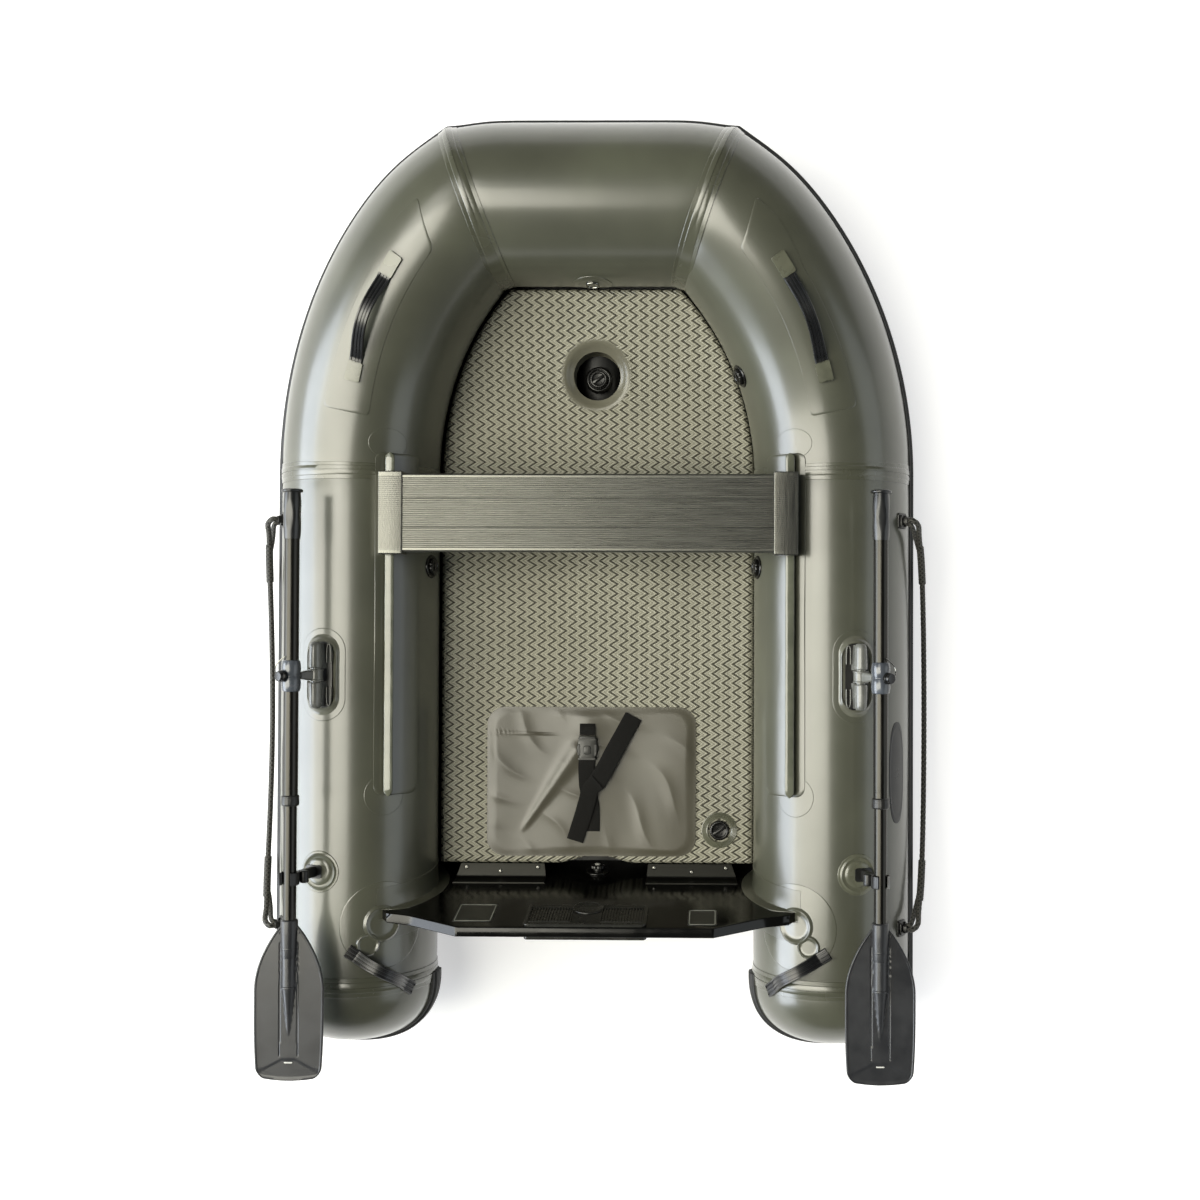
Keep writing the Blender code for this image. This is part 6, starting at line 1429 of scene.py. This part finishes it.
def make_clips():
    """The oar clips: a springy C on a stem, its foot in a raised, ringed patch, and a knob beside it."""
    reach = np.array([OAR[0] - HALF_SPACING, 0.0, OAR[2] - TUBE_R])
    angle = math.atan2(reach[2], reach[0])
    out = unit(reach)
    across = np.cross(Y_AXIS, out)
    y = np.concatenate([[-0.0130, -0.0124], np.linspace(-0.0115, 0.0115, 9), [0.0124, 0.0130]])[:, None]
    roll = 0.0012 * np.clip((np.abs(y) - 0.0115) / 0.0015, 0.0, 1.0) ** 2
    turn = np.linspace(np.radians(38.0), np.radians(322.0), 60)
    thick = np.interp(turn, [turn[0], turn[0] + 0.25, turn[-1] - 0.25, turn[-1]], [0.0016, 0.0, 0.0, 0.0016])
    radius = np.concatenate([0.0193 + thick - roll, 0.0156 + roll + 0 * turn], axis=1)[..., None]
    around = np.concatenate([turn, turn[::-1]])[:, None]
    centre = OAR_LINE + CLIP_Y * Y_AXIS
    grid = (centre + Y_AXIS * y[..., None] + out * (radius * np.cos(around))
            + across * (radius * np.sin(around)))
    knob = rounded([(0.0, -0.0125), (0.0085, -0.0125), (0.0095, -0.0090), (0.0095, 0.0090), (0.0085, 0.0125),
                    (0.0, 0.0125)], 0.0018)
    parts = [(capped(grid, folded=True), False, True),
             swept(centre - out * np.linspace(0.0178, 0.0905, 12)[:, None], across, Y_AXIS,
                   oblong(0.0060, 0.0110, 0.003, 4)),
             turned(knob, centre - out * 0.028 - across * 0.0150, Y_AXIS, 36)]
    for name, side in SIDES.items():
        patch(f"oar_clip_patch_{name}", circle(0.044, 72), CLIP_Y - CROSS_SEAM_Y, angle + 0.010 / TUBE_R,
              OLIVE_MOULDING, side, 0.0014, 0.0022, height=clip_patch_height)
        patch(f"oar_clip_foot_{name}", even_oblong(0.0145, 0.0190, 0.006), CLIP_Y - CROSS_SEAM_Y, angle,
              NYLON, side, 0.0060, 0.0020, replaces=f"{name}_oar_clip", slot="black_plastic")
        piece(f"oar_clip_spring_{name}", parts, NYLON, side=side, slot="black_plastic", sharp=40.0)


# Handles, patches, badges and lifelines

# Across a handle's strap, as shares of half its width and of its thickness: two edge beads and two ribs.
# The left half of its top is listed, and the right half is its mirror image.
STRAP_LEFT = [(-1.0, 0.2), (-1.0, 0.8), (-0.88, 1.2), (-0.70, 1.2), (-0.60, 0.65), (-0.42, 0.65),
              (-0.36, 1.0), (-0.12, 1.0), (-0.06, 0.65)]
STRAP_SECTION = np.array(STRAP_LEFT + [(-x, y) for x, y in STRAP_LEFT[::-1]] + [(0.90, 0.0), (-0.90, 0.0)])
# Each foot's share of a handle's length
STRAP_FOOT = 0.13


def handle_strap(along, angle):
    """A handle's strap: flat on its feet, and risen between them by a share that is a power of a sine."""
    share = np.linspace(0.0, 1.0, 90)
    nearest = np.minimum(share, 1.0 - share)
    risen = np.clip((nearest - STRAP_FOOT) / (0.5 - STRAP_FOOT), 0.0, 1.0)
    wave = np.sin(np.pi / 2 * risen) ** 1.25
    along = along[0] + (along[1] - along[0]) * share
    angle = np.radians(angle[0] + (angle[1] - angle[0]) * share)
    path = cone_place(along, angle, 0.0014 + 0.032 * wave)
    outward = unit(path - tube_frame(along)[0])
    sideways = unit(np.cross(np.gradient(on_tube(along, angle), axis=0), outward))
    outward = unit(np.cross(sideways, np.gradient(path, axis=0)))
    section = scaled(STRAP_SECTION, 0.0125 + 0.0015 * (1.0 - wave), 0.0050)
    section[..., 1] -= section[..., 0] ** 2 / (2 * TUBE_R) * (1.0 - wave[:, None])
    return swept(path, sideways, outward, section)


def make_handles():
    """The four carrying handles, their end patches and the long reinforcement under the bow ones."""
    base = np.array([(0.585, 75), (0.536, 107), (0.462, 107), (0.146, 106.5), (0.148, 73), (0.440, 77.5),
                     (0.528, 72.5)], float)
    base = even_steps(together(base[:, 0], np.radians(base[:, 1]) * TUBE_R), 240, closed=True)
    for _ in range(6):
        base = (np.roll(base, 1, axis=0) + 2 * base + np.roll(base, -1, axis=0)) / 4
    straps = {"bow": handle_strap((0.240, 0.468), (91.5, 89.0)),
              "stern": handle_strap((-1.008, -1.104), (96.0, 144.0))}
    for name, side in SIDES.items():
        patch(f"bow_handle_base_{name}", base, 0.0, 0.0, RING_PATCH, side, 0.0009, 0.0014)
        for which, strap in straps.items():
            piece(f"{which}_handle_strap_{name}", [strap], HANDLE_RUBBER, side=side,
                  replaces=f"{name}_{which}_handle", slot="black_rubber", sharp=40.0)
        # The bow handles' ends lie under raised olive pads
        for number, (along, angle) in enumerate(((0.240, 91.5), (0.464, 89.0))):
            patch(f"bow_handle_end_{name}_{number + 1}", even_oblong(0.0225, 0.0155, 0.004), along,
                  math.radians(angle), OLIVE_MOULDING, side, 0.0082, 0.0030)


def make_badges():
    """The oval badges on the tube's outer sides, left plain, with a fine raised border."""
    ring = circle(1.0, 120)
    oval = np.sign(ring) * np.abs(ring) ** 0.78 * [0.108, 0.028]
    for name, side in SIDES.items():
        patch(f"side_badge_{name}", oval, -0.638, math.radians(39.0), BADGE_FILM, side, 0.0008, 0.0012,
              height=lambda share: 0.0004 * bell(share - 0.90, 0.04))


def make_transom_holders():
    """The fabric that holds the board to the tubes: a strip each side of it, and lobes over its ends."""
    # Across a strip: how far along the tube it is, from its glued edge to the board, then up the board
    rows = np.array([(0.046, 0.0), (0.045, 0.0011), (0.030, 0.0014), (0.006, 0.0016), (0.0022, 0.0030),
                     (0.0016, 0.0060), (0.0015, 0.0250), (0.0012, 0.0262), (0.0001, 0.0262), (0.0001, 0.0)])
    angle = np.linspace(np.radians(116.0), np.radians(232.0), 80)[:, None]
    # The strip up the board's face grows to its height over the first 20 degrees
    low = np.minimum(rows[:, 1], 0.0016)
    lift = low + (rows[:, 1] - low) * ease((angle - angle[0]) / 0.35)
    shift = lift * np.sin(angle) * np.clip(lift / 0.006, 0.0, 1.0) * math.tan(RAKE)
    face = board_face(TUBE_R + TUBE_R * np.sin(angle)) - CROSS_SEAM_Y
    strips = {"front": on_tube(face + rows[:, 0], angle, lift),
              "aft": on_tube(face - BOARD_THICKNESS - rows[:, 0], angle, lift)}
    for name, side in SIDES.items():
        for which, grid in strips.items():
            piece(f"transom_holder_{which}_{name}", [(capped(grid - shift[..., None] * Y_AXIS), False, True)],
                  RING_PATCH, side=side, slot="hull_fabric", sharp=40.0)
        # Lobes of fabric, the two small ones with a rolled bead near their edge
        for number, (along, where, radius, thick, bead) in enumerate((
                (-0.960, 121.0, 0.092, 0.0007, 0.0), (-0.956, 120.0, 0.040, 0.0018, 0.0034),
                (-0.998, 110.0, 0.025, 0.0016, 0.0030))):
            patch(f"transom_lobe_{name}_{number + 1}", circle(radius, 120), along, math.radians(where),
                  GLOSSY_PATCH, side, thick, 0.0018, height=lambda share: bead * bell(share - 0.84, 0.10))


def make_rope_tabs():
    """The moulded tabs that the lifelines are tied to: a round-cornered base and a lug with a rolled eye."""
    angle = math.radians(32.6)
    spoke = (math.cos(angle), 0.0, math.sin(angle))
    for name, side in SIDES.items():
        for which, along in (("fore", -0.1015), ("aft", -0.971)):
            patch(f"rope_tab_base_{which}_{name}", even_oblong(0.0172, 0.0172, 0.005), along, angle, NYLON,
                  side, 0.0034, 0.0016, replaces=f"{name}_{which}_rope_tab", slot="webbing")
            place = axes(on_tube(along, angle, 0.0020), spoke, Y_AXIS)
            parts = [slab(oblong(0.0080, 0.0070, 0.003, 4), 0.0, 0.0155, 0.0020, place)]
            parts += [slab(oblong(0.0125, 0.0030, 0.0024, 4) + [0.0, y], 0.0, 0.0050, 0.0012, place)
                      for y in (0.0100, -0.0100)]
            piece(f"rope_tab_lug_{which}_{name}", parts, NYLON, side=side, slot="webbing", sharp=40.0)


# The starboard lifeline's middle line, from its fore tab to its aft one
LIFELINE_ROUTE = np.array([
    (0.6784, 0.1545, 0.2713), (0.6864, 0.1545, 0.2764), (0.6979, 0.1442, 0.2694),
    (0.7026, 0.1245, 0.2475), (0.7073, 0.1009, 0.2300), (0.7116, 0.0753, 0.2154),
    (0.7151, 0.0491, 0.2015), (0.7182, 0.0225, 0.1884), (0.7208, -0.0047, 0.1766),
    (0.7231, -0.0324, 0.1658), (0.7251, -0.0605, 0.1560), (0.7269, -0.0890, 0.1474),
    (0.7283, -0.1178, 0.1401), (0.7295, -0.1470, 0.1339), (0.7305, -0.1763, 0.1288),
    (0.7312, -0.2059, 0.1250), (0.7317, -0.2356, 0.1224), (0.7319, -0.2653, 0.1212),
    (0.7319, -0.2952, 0.1212), (0.7317, -0.3249, 0.1224), (0.7312, -0.3546, 0.1250),
    (0.7305, -0.3842, 0.1288), (0.7295, -0.4135, 0.1339), (0.7283, -0.4427, 0.1401),
    (0.7269, -0.4715, 0.1474), (0.7251, -0.5000, 0.1560), (0.7231, -0.5281, 0.1658),
    (0.7208, -0.5558, 0.1766), (0.7182, -0.5830, 0.1884), (0.7151, -0.6096, 0.2015),
    (0.7116, -0.6358, 0.2154), (0.7073, -0.6614, 0.2300), (0.7026, -0.6850, 0.2475),
    (0.6979, -0.7047, 0.2694), (0.6864, -0.7150, 0.2764), (0.6784, -0.7150, 0.2713)])
ROPE_STRANDS = 520.0


def braided(name, path, radius, rate=ROPE_STRANDS, count=20, ridge=0.07, replaces=()):
    """A braided tube round a path: the radius swells where two sets of strands cross, one each way."""
    run, turn = run_along(path)[:, None], full_turn(count)[None]
    weave = np.maximum(np.sin(4 * turn + rate * run), np.sin(4 * turn - rate * run))
    swell = radius * (1.0 - ridge + ridge * weave)
    section = together(swell * np.cos(turn), swell * np.sin(turn))
    part = swept(path, *along_path(path, (0.3, 0.1, 1.0)), section)
    return piece(name, [part], ROPE, uv=[repeated_ends(together(run, turn * radius))], replaces=replaces,
                 slot="rope", sharp=60.0)


def make_lifelines():
    """The lifelines: braid along the route, a strand that closes the eye round each lug, and a whipping."""
    for name, side in SIDES.items():
        route = mirrored(LIFELINE_ROUTE, side)
        rope = braided(f"lifeline_braided_{name}", smooth_path(route, 620), 0.0060,
                       replaces=f"{name}_lifeline")
        for which, line, hand in (("fore", route, 1.0), ("aft", route[::-1], -1.0)):
            knot = [line[0] + (-0.004 * side, -0.006 * hand, -0.004),
                    line[0] + (0.006 * side, -0.012 * hand, -0.002),
                    line[3] + (-0.007 * side, -0.004 * hand, -0.006),
                    line[4] + (-0.004 * side, 0.0, -0.004), line[5], line[6]]
            braided(f"lifeline_eye_{which}_{name}", smooth_path(knot, 90), 0.0052, count=14)
            braided(f"lifeline_whipping_{which}_{name}", smooth_path(line[4:8], 70), 0.0082,
                                  1400.0, ridge=0.10)


def make_bow_ring():
    """The towing ring inside the bow: a round patch and a D of wire."""
    patch("bow_ring_patch", circle(0.043, 90), BOW_ALONG, math.radians(178.0), RING_PATCH, 1.0, 0.0014,
          0.0018, height=lambda share: 0.0009 * bell(share - 0.72, 0.04))
    turn = full_turn(60)
    along = 0.0130 * np.sign(np.cos(turn)) * np.abs(np.cos(turn)) ** 0.8
    loop = on_tube(BOW_ALONG + along, math.radians(176.0) + 0.0100 * np.sin(turn) / TUBE_R,
                   0.0050 + 0.002 * np.sin(turn))
    loop = np.vstack([loop, loop[:1]])
    wire_part = swept(loop, *along_path(loop, (0.0, -1.0, 0.1)), circle(0.0022, 10), closed=True)
    piece("bow_ring_wire", [wire_part], STEEL, slot="dark_aluminium")


make_oarlocks()
make_oars()
make_clips()
make_handles()
make_badges()
make_transom_holders()
make_rope_tabs()
make_lifelines()
make_bow_ring()


# The stage: floor, lamps and the camera

WHITE = (1.0, 1.0, 1.0, 1.0)
LAMP_DISTANCE = 12.0
# How far each lamp leans from overhead, its compass angle from starboard, the two angles that it spans
# seen from the boat, how bright its face is, and its colour
LAMPS = (("port_softbox_overhead", 33.0, 186.0, (54.0, 27.0), 7.8, (1.0, 0.97, 0.84)),
         ("port_window", 72.0, 190.0, (28.0, 44.0), 8.0, (0.90, 0.97, 1.06)),
         ("bow_card", 27.0, 145.0, (18.0, 20.0), 3.4, (1.0, 0.98, 0.90)),
         ("starboard_card", 62.0, -10.0, (28.0, 44.0), 1.2, (0.92, 0.98, 1.0)))
# The camera, fitted to the photograph's outline: its focal length and shift are in the frame's pixels
FRAME_PIXELS, FOCAL_PIXELS, SHIFT_PIXELS = 1200.0, 1416.3, (-98.2, 2.9)
CAMERA_PLACE = (0.272, -0.063, 3.3)
CAMERA_TURNS = (("Y", 0.83), ("X", 0.77), ("Z", 0.19))


def seen_rays(tree):
    """1 for rays from the camera, a mirror or through glass, else 0; and the same for the camera alone."""
    ray = add(tree, "LightPath").outputs
    mirror = add(tree, "Math", {0: ray["Is Glossy Ray"], 1: ray["Is Transmission Ray"]}, operation="MAXIMUM")
    seen = add(tree, "Math", {0: ray["Is Camera Ray"], 1: mirror}, operation="MAXIMUM")
    return seen, ray["Is Camera Ray"]


def placed(name, data, matrix):
    """An object of the stage at a place."""
    thing = bpy.data.objects.new(name, data)
    thing.matrix_world = matrix
    bpy.context.scene.collection.objects.link(thing)
    return thing


def make_floor():
    """A pale floor that keeps its shadows and shows white to eyes and mirrors, fully so far from the boat."""
    size = 30.0
    mesh = bpy.data.meshes.new("studio_floor")
    mesh.from_pydata([(-size, -size, 0), (size, -size, 0), (size, size, 0), (-size, size, 0)], [],
                     [(0, 1, 2, 3)])
    material = bpy.data.materials.new("white_studio_floor")
    material.use_nodes = True
    tree = material.node_tree
    tree.nodes.clear()
    wide = add(tree, "VectorMath", {0: add(tree, "TexCoord").outputs["Object"], 1: (2.0, 1.0, 1.0)},
               operation="MULTIPLY")
    away = add(tree, "VectorMath", {0: wide}, operation="LENGTH")
    far = add(tree, "MapRange", {"Value": away.outputs["Value"], "From Min": 1.05, "From Max": 2.4,
                                 "To Min": 0.0, "To Max": 0.5})
    seen, camera_ray = seen_rays(tree)
    beyond = add(tree, "Math", {0: camera_ray, 1: far}, operation="MULTIPLY")
    strength = add(tree, "Math", {0: seen, 1: 0.5, 2: beyond}, operation="MULTIPLY_ADD")
    lit = add(tree, "BsdfDiffuse", {"Color": linear("#cbcbcb")})
    glow = add(tree, "Emission", {"Color": WHITE, "Strength": strength})
    add(tree, "OutputMaterial", {"Surface": add(tree, "AddShader", {0: lit, 1: glow})})
    mesh.materials.append(material)
    placed("studio_floor", mesh, Matrix())


def make_lamps():
    """Far soft lamps, as rectangles that face the boat, each with a side that is level."""
    for name, lean, compass, spans, brightness, colour in LAMPS:
        lean, compass = math.radians(lean), math.radians(compass)
        toward = Vector((math.sin(lean) * math.cos(compass), math.sin(lean) * math.sin(compass),
                         math.cos(lean)))
        rising = (Vector((0.0, 0.0, 1.0)) - toward * toward.z).normalized()
        lamp = bpy.data.lights.new(name, "AREA")
        lamp.shape = "RECTANGLE"
        lamp.size, lamp.size_y = (2 * LAMP_DISTANCE * math.tan(math.radians(span / 2)) for span in spans)
        lamp.energy = brightness * math.pi * lamp.size * lamp.size_y
        lamp.color = colour
        turn = Matrix((rising, toward.cross(rising), toward)).transposed().to_4x4()
        placed(name, lamp, Matrix.Translation(toward * LAMP_DISTANCE) @ turn)


def make_room():
    """A dim room that is white to the camera, and to mirrors near the horizon, fading as they look up."""
    world = bpy.data.worlds.new("studio_room")
    bpy.context.scene.world = world
    world.use_nodes = True
    tree = world.node_tree
    tree.nodes.clear()
    split = add(tree, "SeparateXYZ", {"Vector": add(tree, "TexCoord").outputs["Generated"]})
    low = add(tree, "MapRange", {"Value": split.outputs["Z"], "From Min": 0.04, "From Max": 0.26,
                                 "To Min": 1.0, "To Max": 0.0}, interpolation_type="SMOOTHSTEP")
    seen, camera_ray = seen_rays(tree)
    mirror = add(tree, "Math", {0: seen, 1: low}, operation="MULTIPLY")
    share = add(tree, "Math", {0: camera_ray, 1: mirror}, operation="MAXIMUM")
    room = add(tree, "Background", {"Color": (0.9, 0.95, 1.0, 1.0), "Strength": 0.07})
    white = add(tree, "Background", {"Color": WHITE, "Strength": 1.0})
    add(tree, "OutputWorld", {"Surface": add(tree, "MixShader", {0: share, 1: room, 2: white})})


def make_camera():
    """The photograph's camera: 3.3 m up, looking down, a little rolled and off centre."""
    camera = bpy.data.cameras.new("photo_camera")
    camera.sensor_width = 36.0
    camera.lens = FOCAL_PIXELS / FRAME_PIXELS * camera.sensor_width
    camera.shift_x, camera.shift_y = (shift / FRAME_PIXELS for shift in SHIFT_PIXELS)
    turn = Matrix.Translation(CAMERA_PLACE)
    for axis, degrees in CAMERA_TURNS:
        turn = turn @ Matrix.Rotation(math.radians(degrees), 4, axis)
    bpy.context.scene.camera = placed("photo_camera", camera, turn)
    bpy.context.scene.view_settings.view_transform = "Standard"


make_floor()
make_lamps()
make_room()
make_camera()
